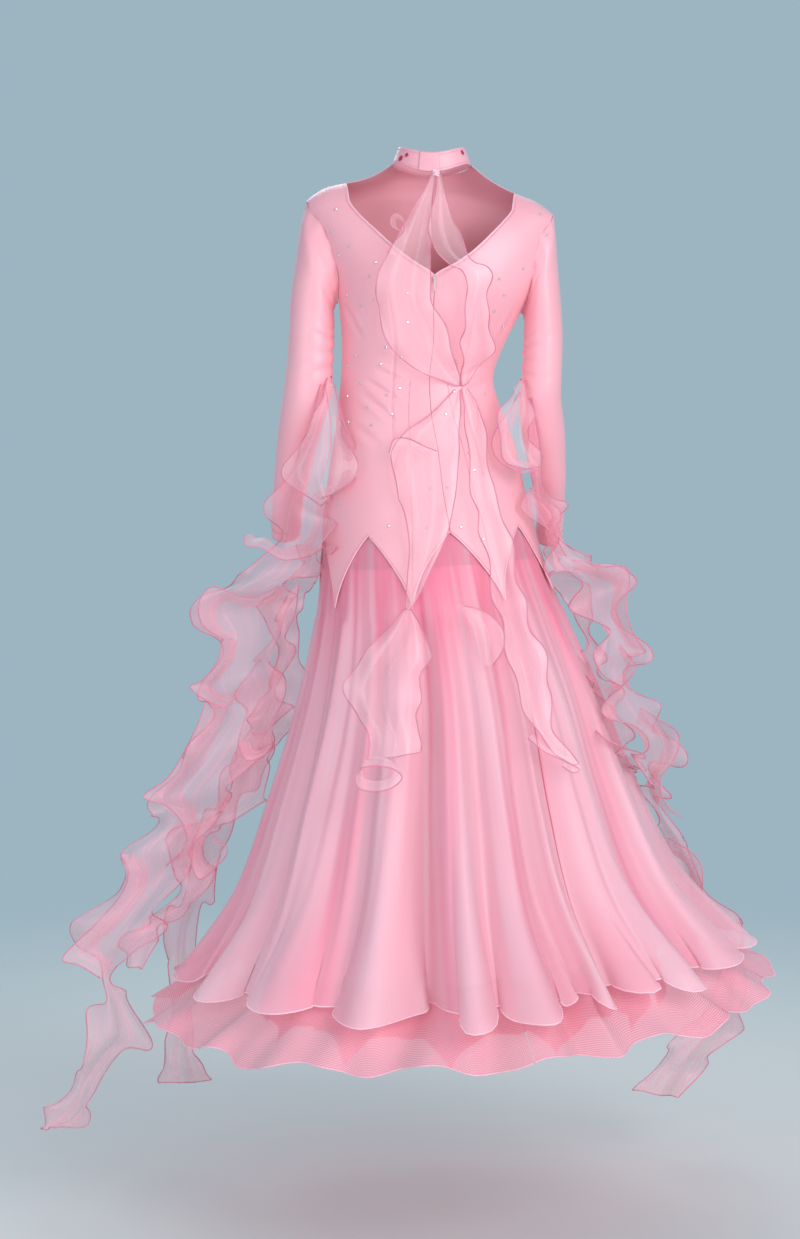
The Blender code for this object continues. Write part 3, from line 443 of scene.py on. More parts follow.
SLEEVE_FLOAT_LEFT_LONG = in_millimetres(
    Strip,
    (161.5, 45, -294, 155.5, 39, -294, 0), (168, 48, -317.5, 152, 46.5, -320.5, 0),
    (177, 41, -352, 147, 43, -355, 1), (200, 18, -397, 150, 38, -404, 1),
    (216, 0, -441, 158, 40, -481, 4), (232, -10, -483, 147, 66, -497, 10),
    (253, -20, -534, 148, 66, -533, -14), (282, -30, -580, 167, 40, -570, 16),
    (349, -50, -616, 194, 20, -587, 22), (354, -40, -652, 219, 10, -614, -16),
    (328, -20, -686, 225, 0, -663, -18), (360, -45, -749, 215, 30, -714, 20),
    (331, -20, -785, 221, 20, -780, -16), (373, -10, -847, 251, 20, -849, 16),
    (434, -35, -916, 284, 20, -906, 20), (406, -10, -944, 324, 0, -954, -12),
    (470, -30, -1000, 356, 10, -991, 16), (463, -10, -1037, 371, 10, -1042, -10),
    (509, -20, -1091, 403, 20, -1098, 16), (554, -40, -1158, 435, 30, -1137, 10),
    (517, -10, -1178, 467, 10, -1168, -6), (499, 0, -1197, 484, 6, -1196, 0),
    (503, 10, -1231, 457, -10, -1229, 8), (514, 20, -1270, 427, -30, -1298, 12),
    (527, 10, -1311, 463, -10, -1320, -10), (546, 0, -1359, 507, 0, -1359, 6),
    (575, -15, -1405, 517, 15, -1400, 6), (604, -5, -1429, 572, 10, -1427, 4),
)

SLEEVE_FLOAT_LEFT_SHORT = in_millimetres(
    Strip,
    (214, 11, -611.5, 196, 20, -590, 0), (232, -18, -646.5, 204, 0, -642, 3),
    (249, -60, -689, 214, -24, -696, 8), (285, -110, -753, 222, -60, -772, -12),
    (298, -120, -817, 244, -90, -840, 12), (293, -140, -863, 249, -120, -878, -10),
    (332, -120, -928, 285, -150, -942, 12), (369, -150, -1004, 325, -150, -1035, -12),
    (379, -160, -1065, 339, -170, -1085, 10), (414, -170, -1139, 365, -190, -1171, -12),
    (416, -200, -1222, 377, -215, -1241, 10), (415, -225, -1315, 376, -240, -1328, -8),
    (422, -230, -1363, 379, -240, -1363, 10), (439, -220, -1405, 363, -240, -1398, -6),
    (437, -215, -1419, 353, -235, -1419, 4),
)

SLEEVE_FLOAT_RIGHT_UPPER = in_millimetres(
    Strip,
    (-139.5, 34.5, -288, -133.5, 23.5, -288, 0), (-141, 47, -301, -125.5, 50, -298.5, 1),
    (-143, 54, -320, -114, 80, -308, 6), (-143, 52, -353, -98, 108, -335, 10),
    (-146, 50, -380, -90, 118, -369, 12), (-155, 46, -401, -102, 114, -402, 8),
    (-165, 38, -416, -131, 88, -420, 4),
)

SLEEVE_FLOAT_RIGHT_LONG = in_millimetres(
    Strip,
    (-149.5, 43, -314.5, -144.5, 40, -314.5, 0), (-157, 36, -352, -146, 38, -356.5, 1),
    (-164, 26, -389, -146, 34, -397, 1), (-169, 18, -425, -147, 38, -428, 3),
    (-172, 14, -461, -147, 70, -462, 10), (-197, -4, -483, -159, 60, -501, 12),
    (-204, 0, -525, -177, 45, -531, -8), (-226, -10, -557, -182, 50, -557, 10),
    (-284, -40, -567, -202, 30, -580, 18), (-303, -50, -598, -224, 20, -616, -18),
    (-298, -30, -636, -238, 30, -651, 12), (-327, -50, -698, -251, 60, -684, 16),
    (-310, -30, -729, -254, 80, -729, -14), (-332, -40, -785, -271, 100, -762, 12),
    (-378, -60, -827, -284, 120, -803, 18), (-374, -60, -861, -310, 90, -848, -12),
    (-356, -80, -902, -327, 0, -898, 4), (-369, -110, -960, -346, -90, -960, 6),
    (-408, -140, -1018, -370, -130, -1013, 14), (-427, -160, -1074, -397, -150, -1069, -6),
    (-447, -180, -1109, -406, -176, -1121, 4), (-495, -190, -1141, -445, -190, -1158, 12),
    (-510, -210, -1188, -465, -230, -1208, -12), (-508, -240, -1286, -459, -260, -1294, 10),
    (-508, -230, -1332, -419, -270, -1341, -14), (-458, -250, -1381, -378, -280, -1386, 12),
    (-436, -250, -1416, -358, -270, -1415, -8), (-419, -240, -1447, -338, -260, -1440, 6),
)

COLLAR_FLOAT_LEFT = in_millimetres(
    Strip,
    (-4, 59, 16, -8, 59, 16, 0), (14, 73, -20, -3, 72, -19.5, 2), (37, 89, -59, -1, 86, -56, 4),
    (57, 98, -95, 0, 98, -95, 5), (77, 105, -134, -1, 109, -133, 5), (76, 90, -173, -1, 110, -171, 6),
    (71, 87, -211, -21, 103, -207, 6), (57, 87, -244, -31, 92, -241, 5), (21, 87, -272, -39, 77, -272, 3),
    (-35, 73, -296, -43, 70, -296, 0),
)

COLLAR_FLOAT_RIGHT = in_millimetres(
    Strip,
    (-9.5, 58.5, 16, -13.5, 58.5, 16, 0), (-6, 77.5, -20, -22.5, 75.5, -24.5, 2),
    (5, 99, -68, -36, 89, -68, 4), (-2, 113, -101, -51, 102, -103, 5),
    (-28, 117, -122, -65, 109, -120, 5), (-48, 120, -136, -88, 113, -135, 6),
    (-50, 115, -168, -80, 99, -168, 5), (-45, 107, -206, -84, 83, -205, 6),
    (-43, 94, -244, -89, 58, -241, 6), (-43, 77, -273, -67, 61, -272, 3),
    (-45, 69, -296, -52, 65, -295, 0),
)

WAIST_FLOAT_LEFT = in_millimetres(
    Strip,
    (-36, 73.5, -302, -43.5, 70.5, -302, 0), (-2, 91, -336, -43, 82.5, -332, 4),
    (41, 100, -370, -41, 97, -367, 5), (60, 101, -398, -41, 109, -405, 6),
    (51, 112, -439, -39, 119, -445, 6), (39, 122, -481, -30, 130, -491, 6),
    (33, 131, -524, -14, 140, -534, 5), (33, 141, -577, 7, 147, -581, 3),
    (37, 145, -619, 29, 146, -619, 0),
)

WAIST_FLOAT_RIGHT = in_millimetres(
    Strip,
    (-45.5, 70, -302, -54, 65.5, -301, 0), (-47.5, 78.5, -335, -70, 63.5, -329, 3),
    (-50, 101, -373, -77, 76, -364, 3), (-53, 115, -416, -84, 91, -414, 5),
    (-60, 123, -462, -92, 99, -460, 6), (-68, 129, -505, -113, 99, -513, 7),
    (-80, 136, -554, -121, 106, -557, 8), (-88, 149, -603, -131, 121, -605, 9),
    (-99, 163, -647, -146, 133, -653, 10), (-110, 182, -697, -166, 141, -696, 10),
    (-126, 197, -747, -169, 165, -745, 10), (-143, 202, -783, -171, 181, -783, 8),
    (-172, 198, -818, -187, 180, -809, 4), (-201, 184, -842, -213, 174, -842, 1),
)

HIP_FLOAT = in_millimetres(
    Strip,
    (37, 145, -620, 29, 146.5, -619.5, 0), (62.5, 153.5, -651.5, 10.5, 168.5, -647, 4),
    (90, 155, -683, 2, 185, -671, 8), (114, 149, -707, 6, 200, -707, 10),
    (121, 156, -738, 11, 213, -740, 12), (105, 182, -772, 17, 224, -769, 10),
    (86, 204, -797, 15, 235, -799, 8), (92, 215, -830, 11, 239, -817, 6),
)

# Fine gathers of the skirts: waves round the body, each as high as a part of the depth
Gather = namedtuple("Gather", "waves share phase")
GATHERS = rows_of(
    Gather,
    (13, 0.55, 0.4), (22, 0.42, 4), (41, 0.24, 2.1), (83, 0.08, 1.3),
)
GatherDepth = namedtuple("GatherDepth", "height depth")
GATHER_DEPTHS = rows_of(
    GatherDepth,
    (-0.5, 0.0002),
    (-0.56, 0.0008),
    (-0.65, 0.004),
    (-0.765, 0.008),
    (-0.9, 0.011),
    (-1.153, 0.012),
)

# Hem of the top skirt: how the funnels curl, height of the waved part, and the lifts and dips of the edge
FUNNEL_CURL = 0.52
FUNNEL_FULL_DEPTH = 0.04
HEM_WAVE_RISE = 0.20
HEM_LIFT = 0.006
HEM_DIP = 0.017
HEM_DRIFT = 0.012
YOKE_REACH = 0.16
YOKE_INSET = 0.0002

# Narrow funnels that open at the hem of the top skirt, in degrees from the centre back
Funnel = namedtuple("Funnel", "angle half_width depth rise")
FUNNELS = rows_of(
    Funnel,
    (9.5, 3.4, 0.052, 0.32), (-1, 5.2, 0.048, 0.24), (-10.5, 2.6, 0.026, 0.16), (-18.5, 2.8, 0.038, 0.2),
    (-26.5, 2.4, 0.026, 0.16), (-35, 3.6, 0.042, 0.22), (-56, 7.5, 0.02, 0.2), (31, 9, 0.018, 0.2),
    (52, 6, 0.026, 0.22), (74, 4, 0.034, 0.22), (91, 5.4, 0.026, 0.2), (112, 4.4, 0.04, 0.24),
    (131, 6.4, 0.028, 0.22), (156, 4, 0.038, 0.24), (178, 5.6, 0.032, 0.22), (199, 4, 0.04, 0.24),
    (226, 6.2, 0.028, 0.22), (247, 4.2, 0.038, 0.24), (272, 5.6, 0.028, 0.22), (288, 3.8, 0.036, 0.22),
)

# Creases of the stretch cloth: a line on the back, how wide and how deep
Crease = namedtuple("Crease", "start_x start_z end_x end_z half_width depth")
CREASES = rows_of(
    Crease,
    (0.098, -0.286, 0.03, -0.33, 0.009, 0.0022), (0.105, -0.305, 0.045, -0.352, 0.01, 0.002),
    (0.085, -0.27, 0.02, -0.3, 0.008, 0.0016), (-0.085, -0.262, -0.03, -0.292, 0.008, 0.0018),
    (-0.092, -0.285, -0.028, -0.318, 0.009, 0.0018), (-0.088, -0.312, -0.035, -0.338, 0.009, 0.0014),
    (0.118, -0.352, 0.07, -0.385, 0.012, 0.0016), (-0.1, -0.345, -0.06, -0.372, 0.011, 0.0014),
    (0.128, -0.175, 0.098, -0.232, 0.008, 0.0012), (-0.126, -0.182, -0.096, -0.236, 0.008, 0.0012),
)
ARCH_SLOPE = 0.50
SHOULDER_CROWN = 0.0045
NECK_GUIDE = PanelRow(49.0, 0.006, 86.0, -0.022)
BACK_SEAMS = (("dart_seam", 27.0, 27.0, -0.165, -0.430), ("princess_seam", 14.0, 22.0, -0.290, -0.600))
DART_ANGLE = 27.0
DART_TOP = -0.165
DART_FOOT = -0.430
SEAM_HALF_WIDTH = 0.0022
SEAM_DEPTH = 0.0011

# Ruffles of the floats
Ruffle = namedtuple("Ruffle", "node strips edge_depth wave_length folds fold_depth one_side start")
RUFFLES = rows_of(
    Ruffle,
    ("collar_float_left", COLLAR_FLOAT_LEFT, 0.012, 0.07, 2, 0.007, True, 0.04),
    ("collar_float_right", COLLAR_FLOAT_RIGHT, 0.011, 0.064, 1.5, 0.006, True, 0.04),
    ("waist_float_left", WAIST_FLOAT_LEFT, 0.011, 0.08, 2, 0.006, True, 0.04),
    ("waist_float_right", WAIST_FLOAT_RIGHT, 0.012, 0.085, 2, 0.006, True, 0.04),
    ("hip_float", HIP_FLOAT, 0.015, 0.07, 3, 0.009, True, 0.02),
    ("sleeve_float_left_upper", SLEEVE_FLOAT_LEFT_UPPER, 0.015, 0.075, 2, 0.008, True, 0.06),
    ("sleeve_float_left_long", SLEEVE_FLOAT_LEFT_LONG, 0.026, 0.11, 2.5, 0.012, False, 0.22),
    ("sleeve_float_left_short", SLEEVE_FLOAT_LEFT_SHORT, 0.02, 0.095, 2, 0.009, False, 0.1),
    ("sleeve_float_right_upper", SLEEVE_FLOAT_RIGHT_UPPER, 0.014, 0.07, 2, 0.007, True, 0.06),
    ("sleeve_float_right_long", SLEEVE_FLOAT_RIGHT_LONG, 0.023, 0.096, 2.5, 0.01, False, 0.2),
)
EDGE_RADIUS = 0.0009

# Beads, as columns and rows of the photograph
Bead = namedtuple("Bead", "column row")
BEADS = rows_of(
    Bead,
    (336, 209), (332, 232), (350, 246), (339, 255), (376, 262), (370, 276), (348, 295), (375, 299),
    (362, 305), (363, 329), (356, 355), (348, 366), (386, 347), (381, 364), (361, 383), (400, 388),
    (387, 395), (348, 396), (368, 407), (392, 414), (349, 422), (372, 425), (338, 492), (339, 504),
    (334, 523), (331, 547), (325, 567), (540, 214), (546, 235), (523, 269), (499, 279), (504, 295),
    (494, 311), (503, 326), (457, 362), (454, 392), (485, 394), (446, 414), (469, 453), (474, 470),
    (431, 488), (447, 487), (427, 528), (461, 527), (483, 539), (389, 526), (401, 357), (407, 293),
    (408, 322),
)
BEAD_RADIUS = 0.0023
ELBOW_BEAD_RADIUS = 0.0016
ELBOW_BEADS = rows_of(Bead, (331, 377), (331, 382), (521, 380), (521, 385))


def spline(points, steps, closed=False):
    """Smooth curve through points, with some steps to each stretch; a closed one ends where it starts."""
    count = len(points)
    curve = []
    for i in range(count if closed else count - 1):
        start = points[i]
        end = points[(i + 1) % count]
        before = points[(i - 1) % count] if closed or i else start * 2 - end
        after = points[(i + 2) % count] if closed or i + 2 < count else end * 2 - start
        for k in range(steps):
            t = k / steps
            bend = (end - before) * t + (before * 2 - start * 5 + end * 4 - after) * t**2
            bend = bend + (start * 3 - before - end * 3 + after) * t**3
            curve.append(start + bend * 0.5)
    curve.append(curve[0].copy() if closed else points[-1].copy())
    return curve


def refine_along(rows, steps):
    """More rows, smooth through the columns of these."""
    columns = [spline(list(column), steps) for column in zip(*rows)]
    return [list(row) for row in zip(*columns)]


def outward_at(point, centre_x=0.0):
    """Level direction away from the upright axis at a place along X."""
    return Vector((point.x - centre_x, point.y, 0.0)).normalized()


def half_round(side, columns):
    """Angles round one half of the skirt, from the centre back to the centre front."""
    return [side * (HALF_START + HALF_SPAN * i / columns) for i in range(columns + 1)]


def length_of(points):
    return sum((b - a).length for a, b in zip(points, points[1:]))


def grid_faces(levels, columns, start=0, ring=False):
    """Faces between levels of a grid; a ring closes on itself."""
    faces = []
    for j in range(levels - 1):
        for i in range(columns if ring else columns - 1):
            a = start + j * columns + i
            b = start + j * columns + (i + 1) % columns
            faces.append((a, b, b + columns, a + columns))
    return faces


def link_mesh(name, points, faces, material):
    """Smooth mesh of the dress in the scene."""
    mesh = bpy.data.meshes.new(name)
    mesh.from_pydata([tuple(p) for p in points], [], faces)
    mesh.update()
    for polygon in mesh.polygons:
        polygon.use_smooth = True
    mesh.materials.append(material)
    obj = bpy.data.objects.new(name, mesh)
    bpy.context.scene.collection.objects.link(obj)
    return obj


# How the cloth settles: drop of the shoulders and of their corners, fullness of the left upper arm, and
# where along X and Z each begins and how far it runs
SHOULDER_DROP = 0.011
SHOULDER_START = 0.03
SHOULDER_RUN = 0.09
CORNER_DROP = 0.005
CORNER_START = 0.15
CORNER_RUN = 0.04
SETTLE_RISE = 0.12
SLEEVE_FULLNESS = 0.006
SLEEVE_START = 0.15
SLEEVE_RUN = 0.05
UPPER_ARM_LENGTH = 0.26


def clamp(t):
    return min(1.0, max(0.0, t))


def ease(t):
    """0 to 1, smooth at both ends."""
    t = clamp(t)
    return t * t * (3.0 - 2.0 * t)


def settle(point):
    """Point of the cloth as it settles on the slope of the shoulders and round the left upper arm."""
    side = abs(point.x)
    drop = SHOULDER_DROP * ease((side - SHOULDER_START) / SHOULDER_RUN)
    drop += CORNER_DROP * ease((side - CORNER_START) / CORNER_RUN)
    drop *= ease((point.z + SETTLE_RISE) / SETTLE_RISE)
    t = clamp(-point.z / UPPER_ARM_LENGTH)
    full = SLEEVE_FULLNESS * ease((point.x - SLEEVE_START) / SLEEVE_RUN) * 4.0 * t * (1.0 - t)
    return Vector((point.x + full, point.y, point.z - drop))


def add_sheet(name, rows, material, node, wall=0.0):
    """Sheet of cloth through rows of points, with a texture map in metres."""
    count = len(rows[0])
    points = [settle(p) for row in rows for p in row]
    obj = link_mesh(name, points, grid_faces(len(rows), count), material)
    width = max(length_of(row) for row in rows)
    length = max(length_of([row[i] for row in rows]) for i in range(0, count, max(1, count // 12)))
    area = sum(polygon.area for polygon in obj.data.polygons)
    length = max(length, area / width)
    layer = obj.data.uv_layers.new(name="UVMap")
    for loop in obj.data.loops:
        j, i = divmod(loop.vertex_index, count)
        layer.data[loop.index].uv = (i / (count - 1) * width, j / (len(rows) - 1) * length)
    if wall:
        solid = obj.modifiers.new("wall", "SOLIDIFY")
        solid.thickness = wall
        solid.offset = 0.0
        solid.use_even_offset = False
    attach(obj, "dress")
    if node:
        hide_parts(node)
    return obj


def add_tube(name, path, radius, material, sides=6):
    """Thin thread or rolled edge along a path."""
    points = []
    for i, point in enumerate(path):
        ahead = path[min(i + 1, len(path) - 1)] - path[max(i - 1, 0)]
        ahead.normalize()
        aside = ahead.cross(Vector((0.37, 0.59, 0.71)))
        aside.normalize()
        up = ahead.cross(aside)
        for k in range(sides):
            turn = 2 * pi * k / sides
            points.append(point + (aside * cos(turn) + up * sin(turn)) * radius)
    faces = grid_faces(len(path), sides, ring=True)
    faces.append(tuple(reversed(range(sides))))
    faces.append(tuple(range(len(points) - sides, len(points))))
    obj = link_mesh(name, [settle(p) for p in points], faces, material)
    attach(obj, "dress")
    return obj


# Width and height of a stitch, as parts of its length
STITCH_WIDTH = 0.25
STITCH_HEIGHT = 0.22


def add_stitches(name, path, pitch, size, material):
    """Row of short stitches along a path."""
    points = []
    faces = []
    left = pitch
    for a, b in zip(path, path[1:]):
        span = (b - a).length
        if span < 1e-7:
            continue
        ahead = (b - a) / span
        while left < span:
            centre = a + ahead * left
            aside = ahead.cross(Vector((0.0, 1.0, 0.0))).normalized() * size * STITCH_WIDTH
            rise = ahead.cross(aside).normalized() * size * STITCH_HEIGHT
            start = len(points)
            for along in (-0.5, 0.5):
                for move in (aside, rise, -aside, -rise):
                    points.append(centre + ahead * size * along + move)
            faces += grid_faces(2, 4, start, ring=True)
            faces.append((start + 3, start + 2, start + 1, start))
            faces.append((start + 4, start + 5, start + 6, start + 7))
            left += pitch
        left -= span
    obj = link_mesh(name, [settle(p) for p in points], faces, material)
    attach(obj, "dress")
    return obj


SHEEN_ROUGHNESS = 0.4

# Pitch of the knit, of the weave and of the braid's ribs, and the height of their relief
WALE_PITCH = 0.0007
COURSE_PITCH = 0.0009
WEAVE_PITCH = 0.0009
NET_PITCH = 0.0016
RIB_PITCH = 0.0026
BRAID_CROSS_PITCH = 0.0021
WEAVE_RELIEF = 0.0002
RIB_RELIEF = 0.0006

# Heights over which the gathered skirts grow deeper in colour and denser towards the top: partly the packed
# gathers, partly painted shade under the yoke and its arches
PACKING_AND_SHADE_FOOT = -0.78
PACKING_AND_SHADE_TOP = -0.50


def add_node(tree, kind, values, links):
    """New shader node, with the values of its inputs and what feeds them."""
    node = tree.nodes.new(kind)
    for name, value in values.items():
        node.inputs[name].default_value = value
    for name, source in links.items():
        tree.links.new(source, node.inputs[name])
    return node


def start_material(name, roughness, sheen=0.0, **more):
    """New material, with its tree, the inputs of its surface and the coordinates of the cloth."""
    material = bpy.data.materials.new(name)
    material.use_nodes = True
    tree = material.node_tree
    surface = tree.nodes["Principled BSDF"].inputs
    surface["Roughness"].default_value = roughness
    surface["Sheen Weight"].default_value = sheen
    surface["Sheen Roughness"].default_value = SHEEN_ROUGHNESS
    for word, value in more.items():
        surface[word.replace("_", " ")].default_value = value
    return material, tree, surface, tree.nodes.new("ShaderNodeTexCoord").outputs


def colour_by(tree, surface, factor, first, second):
    """Surface colour between two, by a factor."""
    mix = tree.nodes.new("ShaderNodeMix")
    mix.data_type = "RGBA"
    mix.inputs[6].default_value = (*first, 1.0)
    mix.inputs[7].default_value = (*second, 1.0)
    tree.links.new(factor, mix.inputs[0])
    tree.links.new(mix.outputs[2], surface["Base Color"])


def calculate(tree, operation, *values):
    """Sum of values and of what other nodes give."""
    node = tree.nodes.new("ShaderNodeMath")
    node.operation = operation
    for value, socket in zip(values, node.inputs):
        if isinstance(value, (int, float)):
            socket.default_value = value
        else:
            tree.links.new(value, socket)
    return node.outputs[0]


def bands(tree, source, direction, pitch):
    """Stripes of a weave, one each pitch metres."""
    values = {"Scale": pi / 10 / pitch, "Distortion": 0.0}
    wave = add_node(tree, "ShaderNodeTexWave", values, {"Vector": source})
    wave.bands_direction = direction
    return wave.outputs["Fac"]


def woven(tree, source, pitch):
    """Threads of a plain weave, both ways."""
    return calculate(tree, "MAXIMUM", bands(tree, source, "X", pitch), bands(tree, source, "Y", pitch))


def mottle(tree, source, scale, detail=3.0):
    """Soft uneven patches."""
    node = add_node(tree, "ShaderNodeTexNoise", {"Scale": scale, "Detail": detail}, {"Vector": source})
    return node.outputs["Fac"]


def streaks_along(tree, source, across, along):
    """Uneven streaks that run along the cloth."""
    mapping = add_node(tree, "ShaderNodeMapping", {"Scale": (across, along, 1.0)}, {"Vector": source})
    return mottle(tree, mapping.outputs["Vector"], 1.0, 2.0)


def remap(tree, value, low, high):
    """0 at low and 1 at high, smooth between them."""
    node = add_node(tree, "ShaderNodeMapRange", {"From Min": low, "From Max": high}, {"Value": value})
    node.interpolation_type = "SMOOTHSTEP"
    return node.outputs["Result"]


def add_bump(tree, surface, height, strength, distance):
    bump = add_node(tree, "ShaderNodeBump", {"Strength": strength, "Distance": distance}, {"Height": height})
    tree.links.new(bump.outputs["Normal"], surface["Normal"])


def stretch_satin(name, light, deep):
    """Smooth knit with a soft sheen: fine rows of stitches, a little uneven in colour."""
    material, tree, surface, place = start_material(name, 0.32, 0.30, Specular_IOR_Level=0.55)
    cloud = mottle(tree, place["Object"], 9.0, 4.0)
    colour_by(tree, surface, cloud, light, deep)
    wales = bands(tree, place["UV"], "X", WALE_PITCH)
    courses = bands(tree, place["UV"], "Y", COURSE_PITCH)
    tree.links.new(calculate(tree, "MULTIPLY_ADD", cloud, 0.16, 0.29), surface["Roughness"])
    add_bump(tree, surface, calculate(tree, "MULTIPLY", wales, courses), 0.15, WEAVE_RELIEF)
    return material


def gathered_cloth(name, light, deep, alpha, spread, across, top_packing_and_shade):
    """See-through skirt cloth: streaks of painted fold shade, and deeper in colour towards the top, partly
    where the gathers are packed and partly as painted shade under the yoke.
    """
    material, tree, surface, place = start_material(name, 0.50, 0.40)
    split = tree.nodes.new("ShaderNodeSeparateXYZ")
    tree.links.new(place["Object"], split.inputs["Vector"])
    # Deeper colour towards the top: partly the packed gathers, partly painted shade under the yoke
    top = remap(tree, split.outputs["Z"], PACKING_AND_SHADE_FOOT, PACKING_AND_SHADE_TOP)
    # Painted fold shade: broad and fine streaks of the deeper colour run along the cloth; the same mix also
    # makes it a little less see-through
    broad = remap(tree, streaks_along(tree, place["UV"], across, 1.2), 0.35, 0.68)
    fine = remap(tree, streaks_along(tree, place["UV"], across * 5, 2.0), 0.30, 0.75)
    streaks = calculate(tree, "MULTIPLY_ADD", broad, 0.65, calculate(tree, "MULTIPLY", fine, 0.25))
    density_and_painted_shade = calculate(tree, "MULTIPLY_ADD", top, top_packing_and_shade, streaks)
    colour_by(tree, surface, density_and_painted_shade, light, deep)
    threads = woven(tree, place["UV"], WEAVE_PITCH)
    seen = calculate(tree, "MULTIPLY_ADD", threads, spread, alpha - spread)
    tree.links.new(calculate(tree, "MULTIPLY_ADD", density_and_painted_shade, 0.12, seen), surface["Alpha"])
    add_bump(tree, surface, threads, 0.12, WEAVE_RELIEF)
    return material


def sheer_cloth(name, light, deep, alpha, spread, weave=WEAVE_PITCH, painted_glow=0.0, streaks=0.0):
    """Crisp see-through cloth: a fine weave, denser here and there, with a painted glow in its own light
    colour that stands in for light scattered through it.
    """
    # Emission in the cloth's light colour is painted light: the cloth glows as if lit through
    material, tree, surface, place = start_material(
        name, 0.48, 0.35, Emission_Color=(*light, 1.0), Emission_Strength=painted_glow)
    cloud = mottle(tree, place["Object"], 5.0)
    colour_by(tree, surface, cloud, light, deep)
    threads = woven(tree, place["UV"], weave)
    thin = calculate(tree, "MULTIPLY_ADD", threads, spread, alpha - spread / 2)
    slub = mottle(tree, place["UV"], 25.0)
    seen = calculate(tree, "ADD", thin, calculate(tree, "MULTIPLY_ADD", slub, 0.08, -0.04))
    if streaks:
        folded = remap(tree, streaks_along(tree, place["UV"], 55.0, 1.6), 0.42, 0.72)
        seen = calculate(tree, "MULTIPLY_ADD", folded, streaks, seen)
    tree.links.new(seen, surface["Alpha"])
    add_bump(tree, surface, threads, 0.12, WEAVE_RELIEF)
    return material


def ribbed_braid(name, light, deep, alpha):
    """Stiff see-through braid: ribs along the hem, crossed by a fine slanted weave."""
    material, tree, surface, place = start_material(name, 0.40, 0.2)
    ribs = bands(tree, place["UV"], "Y", RIB_PITCH)
    cross = bands(tree, place["UV"], "DIAGONAL", BRAID_CROSS_PITCH)
    weave = calculate(tree, "MULTIPLY_ADD", cross, 0.45, calculate(tree, "MULTIPLY", ribs, 0.55))
    colour_by(tree, surface, weave, deep, light)
    tree.links.new(calculate(tree, "MULTIPLY_ADD", weave, 0.34, alpha - 0.12), surface["Alpha"])
    add_bump(tree, surface, weave, 0.4, RIB_RELIEF)
    return material


def plain_thread(name, light, deep, roughness, scale):
    """Thread, wire or rolled edge: uneven in colour along its run."""
    material, tree, surface, place = start_material(name, roughness, 0.2)
    grain = mottle(tree, place["Object"], scale)
    colour_by(tree, surface, grain, light, deep)
    add_bump(tree, surface, grain, 0.2, 0.0003)
    return material


def cut_glass(name):
    material, tree, surface, place = start_material(name, 0.06, Metallic=0.55, Coat_Weight=1.0)
    # Painted sparkle: flecks of near white and mauve in the colour stand in for glints on the beads
    painted_sparkle = mottle(tree, place["Object"], 400.0)
    colour_by(tree, surface, painted_sparkle, (0.95, 0.93, 0.97), (0.62, 0.50, 0.60))
    return material


def lacquered_metal(name):
    material, tree, surface, place = start_material(name, 0.28, Metallic=0.6)
    wear = mottle(tree, place["Object"], 260.0)
    colour_by(tree, surface, wear, (0.90, 0.72, 0.76), (0.80, 0.66, 0.69))
    add_bump(tree, surface, wear, 0.1, 0.0001)
    return material


SATIN = stretch_satin("stretch_satin", (0.985, 0.485, 0.552), (0.95, 0.38, 0.452))
# The deep colours of the two gathered skirts are painted shade of their folds and under the yoke
ORGANZA_TOP = gathered_cloth(
    "organza_top", (1.0, 0.665, 0.745), (1.0, 0.27, 0.4), alpha=0.62, spread=0.10, across=6.0, top_packing_and_shade=0.62)
ORGANZA_MIDDLE = gathered_cloth(
    "organza_middle", (1.0, 0.475, 0.585), (0.99, 0.25, 0.37), alpha=0.86, spread=0.08, across=8.0,
    top_packing_and_shade=0.5)
ORGANZA_FLOAT = sheer_cloth(
    "organza_float", (0.98, 0.48, 0.57), (0.95, 0.35, 0.45), alpha=0.34, spread=0.12, streaks=0.22)
# The veil carries a painted glow
ORGANZA_VEIL = sheer_cloth(
    "organza_veil", (1.0, 0.69, 0.75), (1.0, 0.59, 0.67), alpha=0.22, spread=0.06, painted_glow=0.17, streaks=0.20)
NET = sheer_cloth(
    "soft_net", (1.0, 0.37, 0.48), (0.96, 0.25, 0.37), alpha=0.80, spread=0.10, weave=NET_PITCH)
BRAID = ribbed_braid("ribbed_braid", (1.0, 0.44, 0.525), (0.93, 0.22, 0.32), alpha=0.70)
EDGE = plain_thread("rolled_edge", (0.9, 0.33, 0.44), (0.64, 0.15, 0.26), 0.45, 30.0)
HEM_EDGE = plain_thread("pale_rolled_hem", (1.0, 0.64, 0.72), (0.98, 0.52, 0.62), 0.40, 40.0)
THREAD = plain_thread("sewing_thread", (0.96, 0.42, 0.52), (0.88, 0.33, 0.44), 0.5, 300.0)
# Bound edge paler than the satin: partly its own pale colour, partly a painted highlight along the rolled
# edges it binds
PALE_BINDING_AND_HIGHLIGHT = plain_thread("bound_edge_and_highlight", (1.0, 0.68, 0.75), (1.0, 0.56, 0.65), 0.4, 60.0)
MAGENTA = plain_thread("embroidery_thread", (0.7, 0.02, 0.12), (0.48, 0.01, 0.07), 0.4, 500.0)
BRAID_EDGE = plain_thread("braid_edge_thread", (0.98, 0.55, 0.64), (0.86, 0.40, 0.50), 0.4, 60.0)
GLASS = cut_glass("cut_glass")
METAL = lacquered_metal("lacquered_metal")


CREASE_LIMIT = 0.0018


